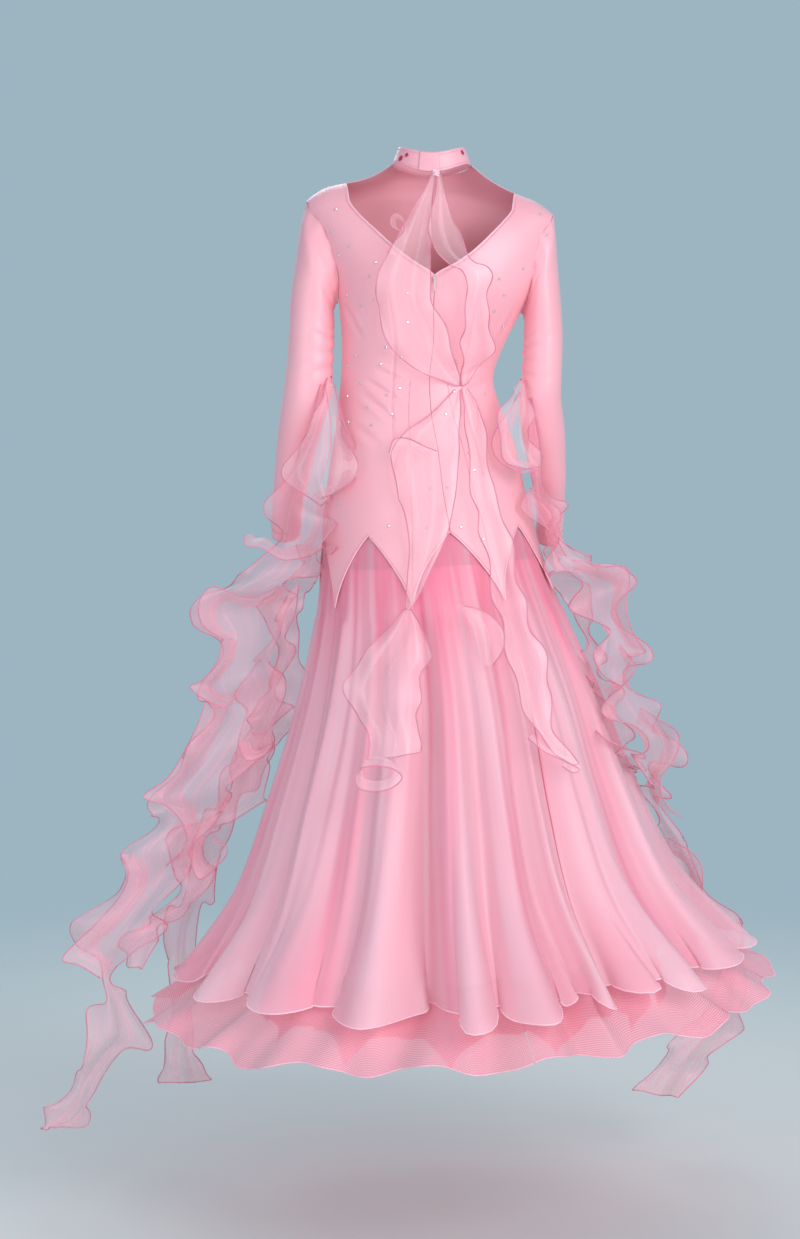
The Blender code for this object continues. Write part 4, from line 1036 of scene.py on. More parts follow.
def crease_depth(point):
    """How far the creases press the cloth in at a point of the back."""
    depth = 0.0
    for crease in CREASES:
        run_x = crease.end_x - crease.start_x
        run_z = crease.end_z - crease.start_z
        span = run_x * run_x + run_z * run_z
        t = ((point.x - crease.start_x) * run_x + (point.z - crease.start_z) * run_z) / span
        near = clamp(t)
        away = hypot(point.x - crease.start_x - run_x * near, point.z - crease.start_z - run_z * near)
        if away < crease.half_width * 2:
            wave = cos(pi * away / crease.half_width) * (1 - away / crease.half_width / 2)
            depth += crease.depth * wave * sin(pi * min(max(t, 0.02), 0.98))
    return depth


def back_point(side, angle, height):
    point = yoke_point(side * angle, height)
    depth = crease_depth(point)
    if DART_FOOT < height < DART_TOP:
        shape = sin(pi * (height - DART_FOOT) / (DART_TOP - DART_FOOT)) ** 0.5
        away = abs(angle - DART_ANGLE) * radians(1.0) * 0.12
        if away < SEAM_HALF_WIDTH * 2:
            depth += SEAM_DEPTH * shape * (1 - away / SEAM_HALF_WIDTH / 2)
    outward = outward_at(point, value_at(BODY, height, "centre_x"))
    return point + outward * (LYCRA_FACE - min(depth, CREASE_LIMIT))


def arch_edge(angle):
    """Height of the yoke's edge as sewn: pointed arches with upright feet."""
    away = (yoke_edge(angle) - ARCH_TOP_HEIGHT) / (TONGUE_TIP_HEIGHT - ARCH_TOP_HEIGHT)
    away = min(1.0, away ** (1 / ARCH_POINT))
    drop = ARCH_SLOPE * away + (1 - ARCH_SLOPE) * (1 - sqrt(1 - away * away))
    return ARCH_TOP_HEIGHT + (TONGUE_TIP_HEIGHT - ARCH_TOP_HEIGHT) * drop


def yoke_fine_rows(angles, steps, place):
    rows = []
    for k in range(steps):
        row = []
        for angle in angles:
            edge = arch_edge(angle)
            row.append(place(angle, edge + (YOKE_LINE_HEIGHT - edge) * k / steps))
        rows.append(row)
    return rows


# Rows of stitches beside the neck edge: the column they lie towards, and how far of the way to it
NECK_STITCHES = (("neck_stitches", 6, 0.75), ("neck_stitches_second", 9, 0.80))


def add_back(side, word):
    count = BACK_COLUMNS
    angles = [PANEL_GAP + (90.0 - 2 * PANEL_GAP) * i / count for i in range(count + 1)]
    rows = yoke_fine_rows(angles, BACK_YOKE_LEVELS, lambda a, h: back_point(side, a, h))
    guides = [Vector(row) for row in BACK_ROWS[:-1]] + [Vector(NECK_GUIDE)]
    for row in spline(guides, BACK_STEPS)[:-BACK_STEPS] + [BACK_ROWS[-1]]:
        points = []
        start = max(row[0], PANEL_GAP)
        for i in range(count + 1):
            t = i / count
            angle = start + (min(row[2], 90.0 - PANEL_GAP) - start) * t
            points.append(back_point(side, angle, row[1] + (row[3] - row[1]) * t))
        rows.append(points)
    low, top = rows[-2:]
    crown = Vector((0.0, 0.45, 0.9)) * SHOULDER_CROWN
    for k in range(1, BACK_STEPS):
        t = k / BACK_STEPS
        rows.insert(-1, [a.lerp(b, t) + crown * sin(pi * t) for a, b in zip(low, top)])
    for point in rows[-1]:
        point.y = SHOULDER_GAP / 2
    rise = Vector((0.0, STITCH_RISE, 0.0))
    for name, top_angle, foot_angle, top_height, foot_height in BACK_SEAMS:
        path = []
        for k in range(SEAM_POINTS + 1):
            t = k / SEAM_POINTS
            angle = top_angle + (foot_angle - top_angle) * t
            path.append(back_point(side, angle, top_height + (foot_height - top_height) * t) + rise)
        add_tube(name + "_" + word, path, SEAM_RADIUS, THREAD)
    neck_rows = rows[-NECK_ROWS:-1]
    neck = [row[0] for row in neck_rows]
    add_tube("neck_edge_" + word, neck, NECK_BINDING_RADIUS, PALE_BINDING_AND_HIGHLIGHT)
    for name, column, part in NECK_STITCHES:
        path = [row[0].lerp(row[column], part) + rise for row in neck_rows]
        add_stitches(name + "_" + word, path, STITCH_PITCH, STITCH_LENGTH, THREAD)
    add_tube("yoke_edge_" + word, rows[0], HEM_RADIUS, PALE_BINDING_AND_HIGHLIGHT)
    path = [low.lerp(up, 0.6) + outward_at(low) * YOKE_STITCH_RISE for low, up in zip(rows[0], rows[3])]
    add_stitches("yoke_stitches_" + word, path, YOKE_STITCH_PITCH, STITCH_LENGTH, THREAD)
    return add_sheet("back_" + word, rows, SATIN, "bodice_back_" + word,
                     LYCRA_THICKNESS)


def front_point(angle, height):
    point = yoke_point(angle, height)
    return point + outward_at(point, value_at(BODY, height, "centre_x")) * LYCRA_FACE


def add_front():
    count = FRONT_COLUMNS
    half = [90.0 + PANEL_GAP + (90.0 - PANEL_GAP) * i / count for i in range(count + 1)]
    angles = half + [360.0 - angle for angle in reversed(half[:-1])]
    rows = yoke_fine_rows(angles, FRONT_YOKE_LEVELS, front_point)
    for row in spline([Vector(row) for row in FRONT_ROWS], FRONT_STEPS):
        left = []
        right = []
        start = max(row[0], 90.0 + PANEL_GAP)
        for i in range(count + 1):
            t = i / count
            angle = start + (row[2] - start) * t
            height = row[1] + (row[3] - row[1]) * sin(pi * t / 2) ** 2
            left.append(front_point(angle, height))
            right.append(front_point(360.0 - angle, height))
        rows.append(left + list(reversed(right[:-1])))
    for row in rows[-SHOULDER_ROWS:]:
        row[0].y = min(row[0].y, -SHOULDER_GAP / 2)
        row[-1].y = min(row[-1].y, -SHOULDER_GAP / 2)
    edge = add_tube("yoke_edge_front", rows[0], HEM_RADIUS, THREAD)
    return add_sheet("front", rows, SATIN, "bodice_front",
                     LYCRA_THICKNESS)


# Creases of the sleeves: place along the sleeve, depth, and angle of their middle
ELBOW_CREASES = (
    (0.30, 0.0022, 190.0), (0.36, 0.0026, 150.0), (0.43, 0.0030, 178.0), (0.49, 0.0026, 160.0),
    (0.55, 0.0020, 185.0), (0.06, 0.0022, 170.0), (0.12, 0.0018, 200.0), (0.90, 0.0014, 180.0),
)
ELBOW_CREASE_ANGLE = 60.0
ELBOW_CREASE_WIDTH = 0.014
ELBOW_CREASE_SLANT = 0.02
SLEEVE_INSET = 0.0009


def add_sleeve(side, word, rings):
    coarse = [armhole_loop(side)]
    for ring in rings:
        coarse.append(ring_points(ring, SLEEVE_COLUMNS))
    rows = refine_along([spline(row, SLEEVE_ACROSS, True) for row in coarse], SLEEVE_STEPS)
    centres = [sum(row[:-1], Vector()) / (len(row) - 1) for row in rows]
    for j, row in enumerate(rows):
        t = j / (len(rows) - 1)
        for i, point in enumerate(row):
            turn = 360.0 * i / (len(row) - 1)
            slant = ELBOW_CREASE_SLANT * sin(radians(turn * 1.5))
            depth = SLEEVE_INSET
            for place, deep, middle in ELBOW_CREASES:
                off = (turn - middle + 180.0) % 360.0 - 180.0
                across = exp(-(off / ELBOW_CREASE_ANGLE) ** 2)
                depth += deep * across * exp(-((t - place - slant) / ELBOW_CREASE_WIDTH) ** 2)
            point += (centres[j] - point).normalized() * depth
    path = [p + (p - centres[-4]).normalized() * CUFF_STITCH_RISE for p in rows[-6]]
    cuff = add_stitches("cuff_stitches_" + word, path, STITCH_PITCH, STITCH_LENGTH, THREAD)
    edge = add_tube("cuff_edge_" + word, rows[-1], HEM_RADIUS, THREAD)
    seam = add_tube("armhole_seam_" + word, rows[0], ARMHOLE_RADIUS, SATIN)
    return add_sheet("sleeve_" + word + "_cloth", rows, SATIN, "sleeve_" + word,
                     LYCRA_THICKNESS)


# The neck band is sewn to the neck of the front, so its lower edge laps that seam
NECK_JOIN = 0.0055
OVERLAP_COLUMNS = range(-6, 12)


def off_neck(row, rise):
    """Row of the neck band, lifted off the neck."""
    return [point + outward_at(point, COLLAR_CENTRE_X) * rise for point in row]


def add_neck_band():
    coarse = []
    for edge in (COLLAR_LOWER, COLLAR_MIDDLE, COLLAR_UPPER):
        ring = [collar_point(edge, 360.0 * i / COLLAR_COLUMNS) for i in range(COLLAR_COLUMNS)]
        coarse.append(spline(ring, COLLAR_ACROSS, True))
    rows = [off_neck(row, LYCRA_FACE) for row in refine_along(coarse, COLLAR_STEPS)]
    for point in rows[0]:
        point.z -= NECK_JOIN * clamp(1.0 - 2.0 * point.y / COLLAR_LOWER.half_depth)
    count = len(rows[0]) - 1
    tab = [off_neck([row[i % count] for i in OVERLAP_COLUMNS], OVERLAP_LIFT) for row in rows]
    for level, row in (("low", rows[2]), ("high", rows[-3])):
        add_stitches("collar_stitches_" + level, off_neck(row, COLLAR_STITCH_RISE),
                                  COLLAR_STITCH_PITCH, COLLAR_STITCH_LENGTH, THREAD)
    for level, row in (("low", rows[0]), ("high", rows[-1])):
        add_tube("collar_edge_" + level, row, COLLAR_EDGE_RADIUS, THREAD)
    return [
        add_sheet("neck_band", rows, SATIN, "collar", BAND_THICKNESS),
        add_sheet("neck_band_overlap", tab, SATIN, None, LYCRA_THICKNESS),
    ]


def gathers(angle, height, seed=0.0):
    depth = value_at(GATHER_DEPTHS, height, "depth")
    wave = 0.0
    for gather in GATHERS:
        wander = 1.6 * noise.noise(Vector((angle * 0.035 + seed, height * 2.2, gather.phase)))
        wave += gather.share * sin(radians(gather.waves * angle) + gather.phase + seed + wander)
    return depth * wave


def top_skirt_point(angle, height):
    """Point of the top skirt with its fine gathers, and with funnels at the hem."""
    shift = 0.0
    out = 0.0
    for funnel in FUNNELS:
        off = (angle - funnel.angle + 180.0) % 360.0 - 180.0
        if abs(off) < funnel.half_width:
            open_by = max(0.0, 1.0 - (height - SKIRT[-1].height) / funnel.rise) ** 2
            t = off / funnel.half_width
            out += funnel.depth * (0.5 + 0.5 * cos(pi * t)) * open_by
            shift += funnel.half_width * FUNNEL_CURL * sin(pi * t) * open_by
    inset = SHEER_DEPTH - gathers(angle, height) - out
    if height > YOKE_LINE_HEIGHT - YOKE_REACH:
        inset = max(inset, YOKE_INSET)
    point = skirt_point(angle + shift, height, inset)
    near_hem = max(0.0, 1.0 - (height - SKIRT[-1].height) / HEM_WAVE_RISE) ** 2
    drift = noise.noise(Vector((cos(radians(angle)) * 4, sin(radians(angle)) * 4, 5.0)))
    point.z += near_hem * (HEM_LIFT + HEM_DRIFT * drift - HEM_DIP * min(1.0, out / FUNNEL_FULL_DEPTH))
    return point


def add_gore_cloth(index):
    step = 360.0 / ARCH_COUNT
    start = (index - 0.5) * step + GORE_GAP
    span = step - 2 * GORE_GAP
    angles = [start + span * i / GORE_COLUMNS for i in range(GORE_COLUMNS + 1)]
    rows = []
    for j in range(GORE_LEVELS + 1):
        height = SKIRT[-1].height + (SKIRT[0].height - SKIRT[-1].height) * (j / GORE_LEVELS) ** 1.05
        rows.append([top_skirt_point(angle, height) for angle in angles])
    number = str(index + 1)
    hem = add_tube("gore_hem_" + number, rows[0], GORE_HEM_RADIUS, HEM_EDGE)
    return add_sheet("gore_" + number, rows, ORGANZA_TOP, "skirt_gore_" + number,
                     0.0)


def add_middle(side, word):
    top = MIDDLE_LAYER[0].height
    foot = MIDDLE_LAYER[-1].height
    rows = []
    for j in range(MIDDLE_LEVELS + 1):
        height = foot + (top - foot) * j / MIDDLE_LEVELS
        inset = value_at(MIDDLE_LAYER, height, "inset") + SHEER_DEPTH
        rows.append([skirt_point(a, height, inset + abs(gathers(a, height, 2.0)) * 0.8)
                     for a in half_round(side, MIDDLE_COLUMNS)])
    return add_sheet("middle_" + word, rows, ORGANZA_MIDDLE, "skirt_middle_" + word)


HEM_WAVE_DEPTH = 0.0100
HEM_WAVE_LIFT = 0.0085


def add_braid_cloth(side, word):
    angles = half_round(side, BRAID_COLUMNS)
    join = MIDDLE_LAYER[-1]
    coarse = [[braid_point(a, row) for a in angles] for row in reversed(BRAID_ROWS)]
    coarse.append([skirt_point(a, join.height, join.inset) for a in angles])
    rows = refine_along(coarse, BRAID_STEPS)
    for j, row in enumerate(rows):
        fall = 1.0 - j / (len(rows) - 1)
        for angle, point in zip(angles, row):
            drift = 2.0 * noise.noise(Vector((angle * 0.03, side * 3.0, 0.0)))
            wave = sin(radians(angle * 17) + 1.1 + drift) + 0.5 * sin(radians(angle * 41) + 0.3)
            point += outward_at(point) * HEM_WAVE_DEPTH * wave * fall
            point.z += HEM_WAVE_LIFT * fall * sin(radians(angle * 17) + 2.4 + drift)
    edge = add_tube("braid_edge_" + word, rows[0], BRAID_EDGE_RADIUS, BRAID_EDGE)
    return add_sheet("braid_" + word, rows, BRAID, "hem_braid_" + word,
                     0.0)


# Hem of the tulle: how far it falls below its last row and flares out, and the shape of its points
TULLE_FALL = 0.086
TULLE_FLARE = 0.12
TULLE_POINT_WIDTH = 1.15
TULLE_RIPPLE = 0.0075


def add_net(side, word):
    angles = half_round(side, TULLE_COLUMNS)
    top = TULLE_LAYER[0]
    low = TULLE_LAYER[-1]
    hem = []
    for a in angles:
        point = form_point(SKIRT, a, low.height, grow=-low.inset)
        point = point + Vector((point.x - SKIRT[-1].centre_x, point.y, 0.0)) * TULLE_FLARE
        cycle = (abs(a) / 180.0 * NET_COLUMNS / 2) % 4.0
        tip = max(0.0, 1.0 - abs(cycle - 2.0) / TULLE_POINT_WIDTH)
        point.z -= TULLE_FALL + TULLE_POINT * tip**1.4
        hem.append(point)
    coarse = [hem]
    for layer in reversed(TULLE_LAYER[1:]):
        coarse.append([form_point(SKIRT, a, layer.height, grow=-layer.inset) for a in angles])
    coarse.append([skirt_point(a, top.height, top.inset) for a in angles])
    rows = refine_along(coarse, TULLE_STEPS)
    for j, row in enumerate(rows):
        fall = 1.0 - j / (len(rows) - 1)
        for a, point in zip(angles, row):
            drift = 2 * noise.noise(Vector((a * 0.05, j * 0.04, side)))
            point -= outward_at(point) * TULLE_RIPPLE * (1 + sin(radians(a * 38) + drift)) * fall**0.7
    return add_sheet("underskirt_" + word + "_cloth", rows, NET, "underskirt_" + word)


def strip_edges(strip):
    """Both edges of a strip, as points."""
    return Vector(strip[:3]), Vector(strip[3:6])


# Ruffled edges: width below which they die out, how close they keep to the edge, how far they spread and
# slide, and by how much the two edges are out of step
NARROW_WIDTH = 0.06
EDGE_SHARPNESS = 1.7
EDGE_SPREAD = 0.26
EDGE_SLIDE = 0.008
EDGE_PHASE = 2.3


def add_float(ruffle):
    """Long float of sheer cloth: folds along it, ruffled edges with a rolled hem."""
    node = ruffle.node if ruffle.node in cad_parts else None
    lefts, rights = (spline(list(edge), FLOAT_STEPS) for edge in zip(*map(strip_edges, ruffle.strips)))
    bulges = spline([Vector((s.bulge, 0.0)) for s in ruffle.strips], FLOAT_STEPS)
    middle = [a.lerp(b, 0.5) for a, b in zip(lefts, rights)]
    run = [0.0]
    for a, b in zip(middle, middle[1:]):
        run.append(run[-1] + (b - a).length)
    seed = random.Random(ruffle.node).uniform(0.0, 9.0)
    rows = []
    for j in range(len(lefts)):
        across = rights[j] - lefts[j]
        ahead = middle[min(j + 1, len(middle) - 1)] - middle[max(j - 1, 0)]
        normal = across.cross(ahead).normalized()
        if normal.y < 0:
            normal = -normal
        grow = ease(run[j] / (ruffle.start * run[-1]))
        narrow = min(1.0, across.length / NARROW_WIDTH)
        row = []
        for i in range(FLOAT_COLUMNS + 1):
            t = i / FLOAT_COLUMNS
            side_phase = seed if t < 0.5 else seed + EDGE_PHASE
            edge = abs(2 * t - 1) ** EDGE_SHARPNESS
            beat = noise.noise(Vector((run[j] * 9.0, seed, t)))
            ripple = sin(2 * pi * run[j] / ruffle.wave_length + side_phase + 1.5 * beat)
            fold = sin(pi * ruffle.folds * t + 2.5 * noise.noise(Vector((run[j] * 5.0, seed + 3, 0.0))))
            if ruffle.one_side:
                ripple = 0.5 + 0.5 * ripple
                fold = 0.5 + 0.5 * fold
            move = ruffle.edge_depth * edge * ripple + ruffle.fold_depth * fold * sin(pi * t)
            point = lefts[j].lerp(rights[j], t)
            point.y += bulges[j].x * sin(pi * t)
            point += normal * move * grow * narrow
            free = 0.75 + 0.9 * noise.noise(Vector((run[j] * 6.0, seed * 2, t * 2)))
            cusp = 1 - 2 * abs(sin(pi * run[j] / ruffle.wave_length / 1.8 + side_phase + beat))**0.8
            ripple *= free
            spread = (t - 0.5) * EDGE_SPREAD * edge * cusp * free
            if ruffle.one_side:
                point += across * spread * grow * 0.25
            else:
                point += across * spread * grow
                point += ahead.normalized() * (EDGE_SLIDE * edge * ripple * grow)
            row.append(point)
        rows.append(row)
    border = [row[0] for row in rows] + rows[-1][1:-1] + [row[-1] for row in reversed(rows)]
    edge = add_tube(ruffle.node + "_edge", border, EDGE_RADIUS, EDGE, 4)
    cloth = ORGANZA_VEIL if ruffle.one_side else ORGANZA_FLOAT
    return add_sheet(ruffle.node + "_cloth", rows, cloth, node, 0.0)


def inner_strips(strips, first, last, shift_x, shift_y, narrow):
    """Second layer of a float: the same run, narrower, set nearer to the skirt."""
    layer = []
    for i, strip in enumerate(strips[first:last]):
        start, end = strip_edges(strip)
        across = end - start
        fade = min(1.0, i / 2.0)
        move = Vector((shift_x * fade, shift_y * fade, 0.012 * sin(2.1 * i)))
        low = start + across * (0.5 + (0.5 - narrow) * sin(1.7 * i)) + move
        high = end + across * (0.12 * sin(2.3 * i + 1.0)) + move
        layer.append(Strip(*low, *high, -strip.bulge * 1.2))
    return layer


def photo_ray(column, row):
    """Direction from the camera through a place in the photograph."""
    right = (PHOTO_WIDTH / 2 - column) / CAMERA_FOCAL_ROWS
    up = (PHOTO_HEIGHT / 2 - row) / CAMERA_FOCAL_ROWS
    down = radians(CAMERA_DOWN)
    ahead = Vector((0.0, -cos(down), -sin(down)))
    above = Vector((0.0, -sin(down), cos(down)))
    return (ahead + Vector((1.0, 0.0, 0.0)) * right + above * up).normalized()


def photo_point(column, row, depth):
    """Place behind a point of the photograph, at a depth along Y."""
    ray = photo_ray(column, row)
    return CAMERA_PLACE + ray * ((depth - CAMERA_PLACE.y) / ray.y)


def photo_curve(run, depth):
    """Smooth curve behind a run of columns and rows of the photograph."""
    return spline([photo_point(column, row, depth) for column, row in zip(run[::2], run[1::2])],
                  CURL_STEPS)


CURL_SWAY = 0.008
CURL_BELLY = 0.005


def add_curl(curl):
    """Curled lobe of a ruffle, from its rolled edge back to its root."""
    edge = photo_curve(curl.edge, curl.edge_depth)
    root = photo_curve(curl.root, curl.root_depth)
    rows = []
    for j, (outer, inner) in enumerate(zip(edge, root)):
        t = j / (len(edge) - 1)
        sway = CURL_SWAY * sin(pi * t) * sin(7.0 * t + 2.0)
        start = outer + Vector((0.0, sway, 0.0))
        row = []
        for k in range(CURL_LEVELS + 1):
            fall = k / CURL_LEVELS
            belly = Vector((0.0, CURL_BELLY * sin(pi * fall) * sin(pi * t), 0.0))
            row.append(start.lerp(inner, fall) + belly)
        rows.append(row)
    rim = add_tube(curl.name + "_edge", [row[0] for row in rows], EDGE_RADIUS, EDGE, 5)
    cloth = ORGANZA_VEIL if curl.root_depth > VEIL_DEPTH else ORGANZA_FLOAT
    return add_sheet(curl.name, rows, cloth, None, 0.0)


def find_on(objects, column, row):
    best = None
    for obj in objects:
        hit, place, normal, face = obj.ray_cast(CAMERA_PLACE, photo_ray(column, row))
        if hit and (best is None or place.y > best[0].y):
            best = (place.copy(), normal.copy())
    return best


def add_floret(floret, place, normal):
    """Embroidered floret: petals traced by one thread round the place."""
    aside = normal.cross(Vector((0, 0, 1))).normalized()
    up = aside.cross(normal)
    path = []
    for i in range(floret.petals * 8 + 1):
        turn = 2 * pi * i / (floret.petals * 8)
        reach = floret.size * (0.25 + 0.75 * abs(sin(floret.petals * turn / 2)))
        path.append(place + (aside * cos(turn) + up * sin(turn)) * reach + normal * FLORET_RISE)
    add_tube(floret.name, path, HEM_RADIUS, MAGENTA)


# Facets of a bead: part of its radius at a part of its height; the last ring is turned by half a side
BEAD_PROFILE = ((1.0, 0.0), (0.92, 0.30), (0.52, 0.72))
BEAD_SIDES = 8
BEAD_RISE = 0.0004


def add_bead_mesh(name, beads, radius, material):
    """Faceted domes set on the cloth behind places of the photograph."""
    points = []
    faces = []
    sides = BEAD_SIDES
    places = [place for place in (find_on(STRETCH_CLOTH, *bead) for bead in beads) if place]
    for place, normal in places:
        if normal.y < 0:
            normal = -normal
        aside = normal.cross(Vector((0, 0, 1))).normalized()
        up = aside.cross(normal)
        start = len(points)
        for ring, rise in BEAD_PROFILE:
            for k in range(sides):
                turn = 2 * pi * (k + (0.5 if ring < 0.6 else 0.0)) / sides
                points.append(place + (aside * cos(turn) + up * sin(turn)) * radius * ring
                              + normal * (radius * rise + BEAD_RISE))
        faces += grid_faces(len(BEAD_PROFILE), sides, start, ring=True)
        faces.append(tuple(range(len(points) - sides, len(points))))
    obj = link_mesh(name, points, faces, material)
    for polygon in obj.data.polygons:
        polygon.use_smooth = False
    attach(obj, "dress")
    return obj


def add_camera():
    data = bpy.data.cameras.new("photo_camera")
    data.lens = CAMERA_FOCAL_ROWS / PHOTO_HEIGHT * SENSOR
    data.sensor_fit = "VERTICAL"
    data.sensor_height = SENSOR
    data.sensor_width = SENSOR
    camera = bpy.data.objects.new("photo_camera", data)
    camera.location = CAMERA_PLACE
    camera.rotation_euler = (radians(90.0 - CAMERA_DOWN), 0.0, radians(180.0))
    bpy.context.scene.collection.objects.link(camera)
    bpy.context.scene.camera = camera


def add_area_light(light):
    data = bpy.data.lights.new(light.name, "AREA")
    data.shape = "RECTANGLE"
    data.size, data.size_y = light.size
    data.energy = light.power
    data.color = light.colour
    lamp = bpy.data.objects.new(light.name, data)
    lamp.location = light.place
    lamp.rotation_euler = (Vector(light.target) - Vector(light.place)).to_track_quat("-Z", "Y").to_euler()
    bpy.context.scene.collection.objects.link(lamp)


FLOOR_SIZE = 7.0
FLOOR_FADE_START = 0.9
FLOOR_FADE_END = 2.6
STUDIO_COLOUR = (0.56, 0.77, 0.89, 1.0)
STUDIO_STRENGTH = 0.60

Light = namedtuple("Light", "name place target size power colour")
LIGHTS = rows_of(
    Light,
    ("key_light", (-2.5, 3.1, 1.1), (0, 0, -0.5), (2.6, 2.6), 112, (1.0, 0.985, 0.965)),
    ("fill_light", (2.0, 3.4, 0.2), (0, 0, -0.7), (2.4, 2.8), 24, (1.0, 0.98, 0.985)),
    ("low_light", (0.8, 3.3, -1.1), (0.1, 0, -0.9), (2.6, 0.8), 26, (1.0, 0.97, 0.98)),
    ("back_light", (0.6, -3.0, 1.6), (0, 0, -0.6), (2.6, 2.2), 48, (1.0, 0.98, 0.98)),
)


def add_studio():
    bpy.ops.mesh.primitive_plane_add(size=FLOOR_SIZE, location=(0.0, 0.0, FLOOR_HEIGHT))
    floor = bpy.context.object
    floor.name = "studio_floor"
    paint, tree, surface, place = start_material("studio_paint", 0.75)
    cloud = mottle(tree, place["Object"], 0.6)
    colour_by(tree, surface, cloud, (0.70, 0.69, 0.69), (0.66, 0.655, 0.655))
    away = tree.nodes.new("ShaderNodeVectorMath")
    away.operation = "LENGTH"
    tree.links.new(place["Object"], away.inputs[0])
    faded = remap(tree, away.outputs["Value"], FLOOR_FADE_START, FLOOR_FADE_END)
    tree.links.new(calculate(tree, "SUBTRACT", 1.0, faded), surface["Alpha"])
    floor.data.materials.append(paint)
    world = bpy.context.scene.world or bpy.data.worlds.new("studio_world")
    bpy.context.scene.world = world
    world.use_nodes = True
    background = world.node_tree.nodes["Background"]
    background.inputs["Color"].default_value = STUDIO_COLOUR
    background.inputs["Strength"].default_value = STUDIO_STRENGTH
    for light in LIGHTS:
        add_area_light(light)


# Curls with a root deeper than this are of the veil's cloth
VEIL_DEPTH = 0.09

# Curled lobes of the ruffles: depths of the outer edge and of the root, then the edge and the root as runs
# of a column and a row of the photograph
Curl = namedtuple("Curl", "name edge_depth root_depth edge root")
CURLS = rows_of(
    Curl,
    ("curl_collar", 0.128, 0.112,
     (388, 252, 396, 240, 404, 231, 403, 219, 397, 213, 391, 217, 392, 226, 403, 232),
     (395, 256, 402, 246, 407, 238, 405, 226, 399, 219, 396, 221, 398, 228, 408, 238)),
    ("curl_elbow_left", 0.075, 0.05,
     (335, 386, 343, 420, 352, 440, 360, 460, 355, 480, 338, 492, 322, 498),
     (331, 386, 334, 420, 338, 440, 342, 460, 339, 474, 330, 484, 320, 490)),
    ("curl_wrist_left", 0.045, 0.02,
     (325, 488, 333, 502, 330, 530, 318, 552, 285, 560, 262, 548, 246, 545, 245, 535),
     (312, 495, 316, 510, 312, 530, 303, 542, 282, 548, 266, 538, 256, 538, 252, 534)),
    ("curl_loop_left", 0.02, -0.01,
     (280, 585, 258, 596, 238, 596, 212, 587, 199, 603, 203, 625, 224, 640),
     (284, 596, 264, 606, 245, 607, 226, 601, 217, 611, 221, 626, 238, 636)),
    ("curl_spike_left", 0.01, -0.02,
     (222, 640, 218, 660, 203, 680, 190, 688, 210, 702, 228, 706, 236, 690),
     (238, 640, 234, 660, 222, 676, 214, 686, 224, 694, 236, 696, 244, 688)),
    ("curl_cone_left", 0.05, 0.03,
     (238, 742, 246, 760, 262, 757, 272, 745, 268, 735, 252, 733),
     (250, 742, 254, 750, 261, 750, 264, 745, 262, 741, 254, 739)),
    ("curl_low_left", 0.01, -0.02,
     (206, 700, 196, 728, 170, 775, 143, 797, 166, 806, 182, 822, 186, 845, 166, 866),
     (228, 706, 219, 730, 200, 768, 182, 790, 192, 806, 198, 822, 199, 842, 186, 856)),
    ("curl_point_left", 0.005, -0.012,
     (120, 853, 128, 872, 121, 895, 95, 925, 63, 957, 80, 965, 100, 978),
     (142, 858, 148, 876, 142, 896, 122, 922, 98, 944, 106, 956, 116, 968)),
    ("curl_inner_left", 0.045, 0.02,
     (196, 835, 190, 855, 198, 880, 215, 868, 228, 850, 214, 836),
     (206, 838, 201, 852, 206, 866, 213, 860, 219, 850, 212, 841)),
    ("curl_elbow_right", 0.085, 0.06,
     (520, 392, 508, 412, 496, 430, 492, 446, 500, 462, 522, 473, 538, 470),
     (524, 396, 518, 414, 510, 430, 508, 444, 512, 454, 524, 461, 536, 460)),
    ("curl_wrist_right", 0.06, 0.035,
     (530, 488, 543, 499, 558, 508, 561, 518, 556, 530, 560, 545, 566, 556),
     (524, 498, 534, 508, 544, 514, 548, 521, 545, 532, 549, 545, 556, 554)),
    ("curl_loop_right", 0.02, -0.015,
     (572, 560, 588, 562, 604, 567, 625, 567, 630, 580, 626, 606, 632, 630, 646, 652),
     (574, 572, 588, 575, 602, 580, 612, 583, 614, 592, 611, 608, 616, 628, 626, 646)),
    ("curl_side_right", 0.015, -0.01,
     (646, 652, 630, 656, 620, 645, 632, 660, 636, 668, 624, 684, 608, 698),
     (632, 650, 624, 652, 618, 650, 624, 660, 626, 668, 616, 680, 604, 690)),
    ("curl_fan_right", 0, -0.035,
     (640, 708, 660, 720, 679, 735, 676, 757, 660, 780, 666, 804, 682, 818),
     (636, 722, 650, 732, 662, 742, 660, 757, 648, 776, 652, 798, 664, 810)),
    ("curl_low_right", -0.02, -0.05,
     (668, 838, 686, 848, 701, 864, 703, 884, 699, 906, 688, 914),
     (664, 850, 678, 858, 688, 868, 689, 884, 686, 900, 678, 906)),
    ("curl_hip", 0.262, 0.24,
     (360, 768, 375, 766, 392, 769, 402, 778, 392, 788, 374, 791, 358, 787, 355, 776),
     (366, 760, 377, 757, 390, 760, 396, 770, 388, 779, 374, 781, 364, 778, 362, 770)),
    ("curl_waist", 0.12, 0.108,
     (389, 453, 393, 441, 401, 438, 412, 440, 424, 446, 437, 451),
     (394, 462, 398, 451, 404, 449, 413, 452, 424, 457, 436, 460)),
    ("curl_hip_side", 0.185, 0.17,
     (465, 606, 478, 609, 490, 615, 502, 628, 505, 642, 500, 655, 493, 665),
     (455, 604, 460, 608, 466, 616, 472, 627, 476, 641, 479, 654, 483, 666)),
    ("curl_hook_right", 0.205, 0.195,
     (528, 738, 545, 752, 563, 761, 579, 769, 572, 772, 562, 766),
     (532, 734, 548, 746, 565, 755, 580, 764, 574, 766, 566, 761)),
)

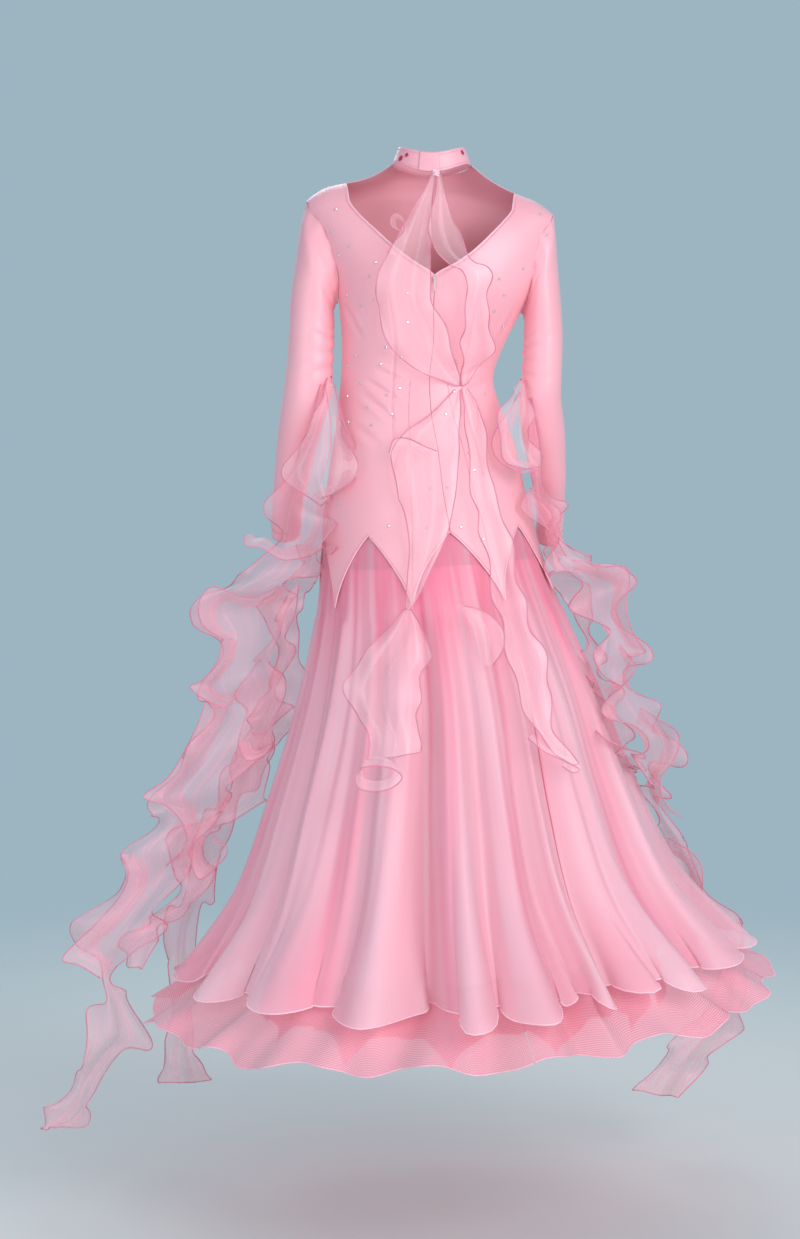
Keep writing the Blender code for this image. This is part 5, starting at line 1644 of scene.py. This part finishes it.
# Small embroidered florets at the top of the neck band: column and row of the photograph, size
FLORET_RISE = 0.0009
Floret = namedtuple("Floret", "name column row size petals")
FLORETS = rows_of(
    Floret,
    ("floret_left", 401, 158, 0.0042, 6),
    ("floret_left_small", 407, 155, 0.0028, 5),
    ("floret_right", 462, 152, 0.0034, 5),
)
KNOT_PLACE = Vector((-0.0075, 0.0625, 0.0145))
KNOT_SIZE = 0.0042
KNOT_LOOPS = 3
KNOT_STEPS = 18


def add_knot_loop(k):
    """One loop of the small knot at the back of the neck band."""
    path = []
    for i in range(KNOT_STEPS + 1):
        turn = 2 * pi * i / KNOT_STEPS
        x = KNOT_SIZE * cos(turn + k)
        y = 0.5 * KNOT_SIZE * sin(2 * turn + k)
        z = KNOT_SIZE * 0.8 * sin(turn - k) - 0.001 * k
        path.append(KNOT_PLACE + Vector((x, y, z)))
    add_tube("knot_" + str(k + 1), path, KNOT_RADIUS, HEM_EDGE, 8)


INNER_LEFT = inner_strips(SLEEVE_FLOAT_LEFT_LONG, 6, 21, -0.030, -0.018, 0.34)
INNER_RIGHT = inner_strips(SLEEVE_FLOAT_RIGHT_LONG, 6, 17, 0.022, -0.024, 0.34)
INNER_RUFFLES = rows_of(
    Ruffle,
    ("inner_float_left", INNER_LEFT, 0.015, 0.074, 2, 0.006, False, 0.06),
    ("inner_float_right", INNER_RIGHT, 0.013, 0.066, 2, 0.005, False, 0.06),
)

add_camera()
STRETCH_CLOTH = [
    add_back(1, "left"),
    add_back(-1, "right"),
    add_front(),
    add_sleeve(1, "left", LEFT_SLEEVE),
    add_sleeve(-1, "right", RIGHT_SLEEVE),
]
NECK_CLOTH = add_neck_band()
for number in range(ARCH_COUNT):
    add_gore_cloth(number)
for half, direction in (("left", 1), ("right", -1)):
    add_middle(direction, half)
    add_braid_cloth(direction, half)
    add_net(direction, half)
for one in RUFFLES + INNER_RUFFLES:
    add_float(one)
for curl in CURLS:
    add_curl(curl)
bpy.context.view_layer.update()
for floret in FLORETS:
    spot = find_on(NECK_CLOTH, floret.column, floret.row)
    if spot:
        add_floret(floret, *spot)
for k in range(KNOT_LOOPS):
    add_knot_loop(k)
add_bead_mesh("glass_beads", BEADS, BEAD_RADIUS, GLASS)
add_bead_mesh("elbow_beads", ELBOW_BEADS, ELBOW_BEAD_RADIUS, MAGENTA)
for node in ("zip_slider", "zip_pull"):
    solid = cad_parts[node]
    solid.data.materials.clear()
    solid.data.materials.append(METAL)
add_studio()
bpy.context.scene.view_settings.view_transform = "Standard"
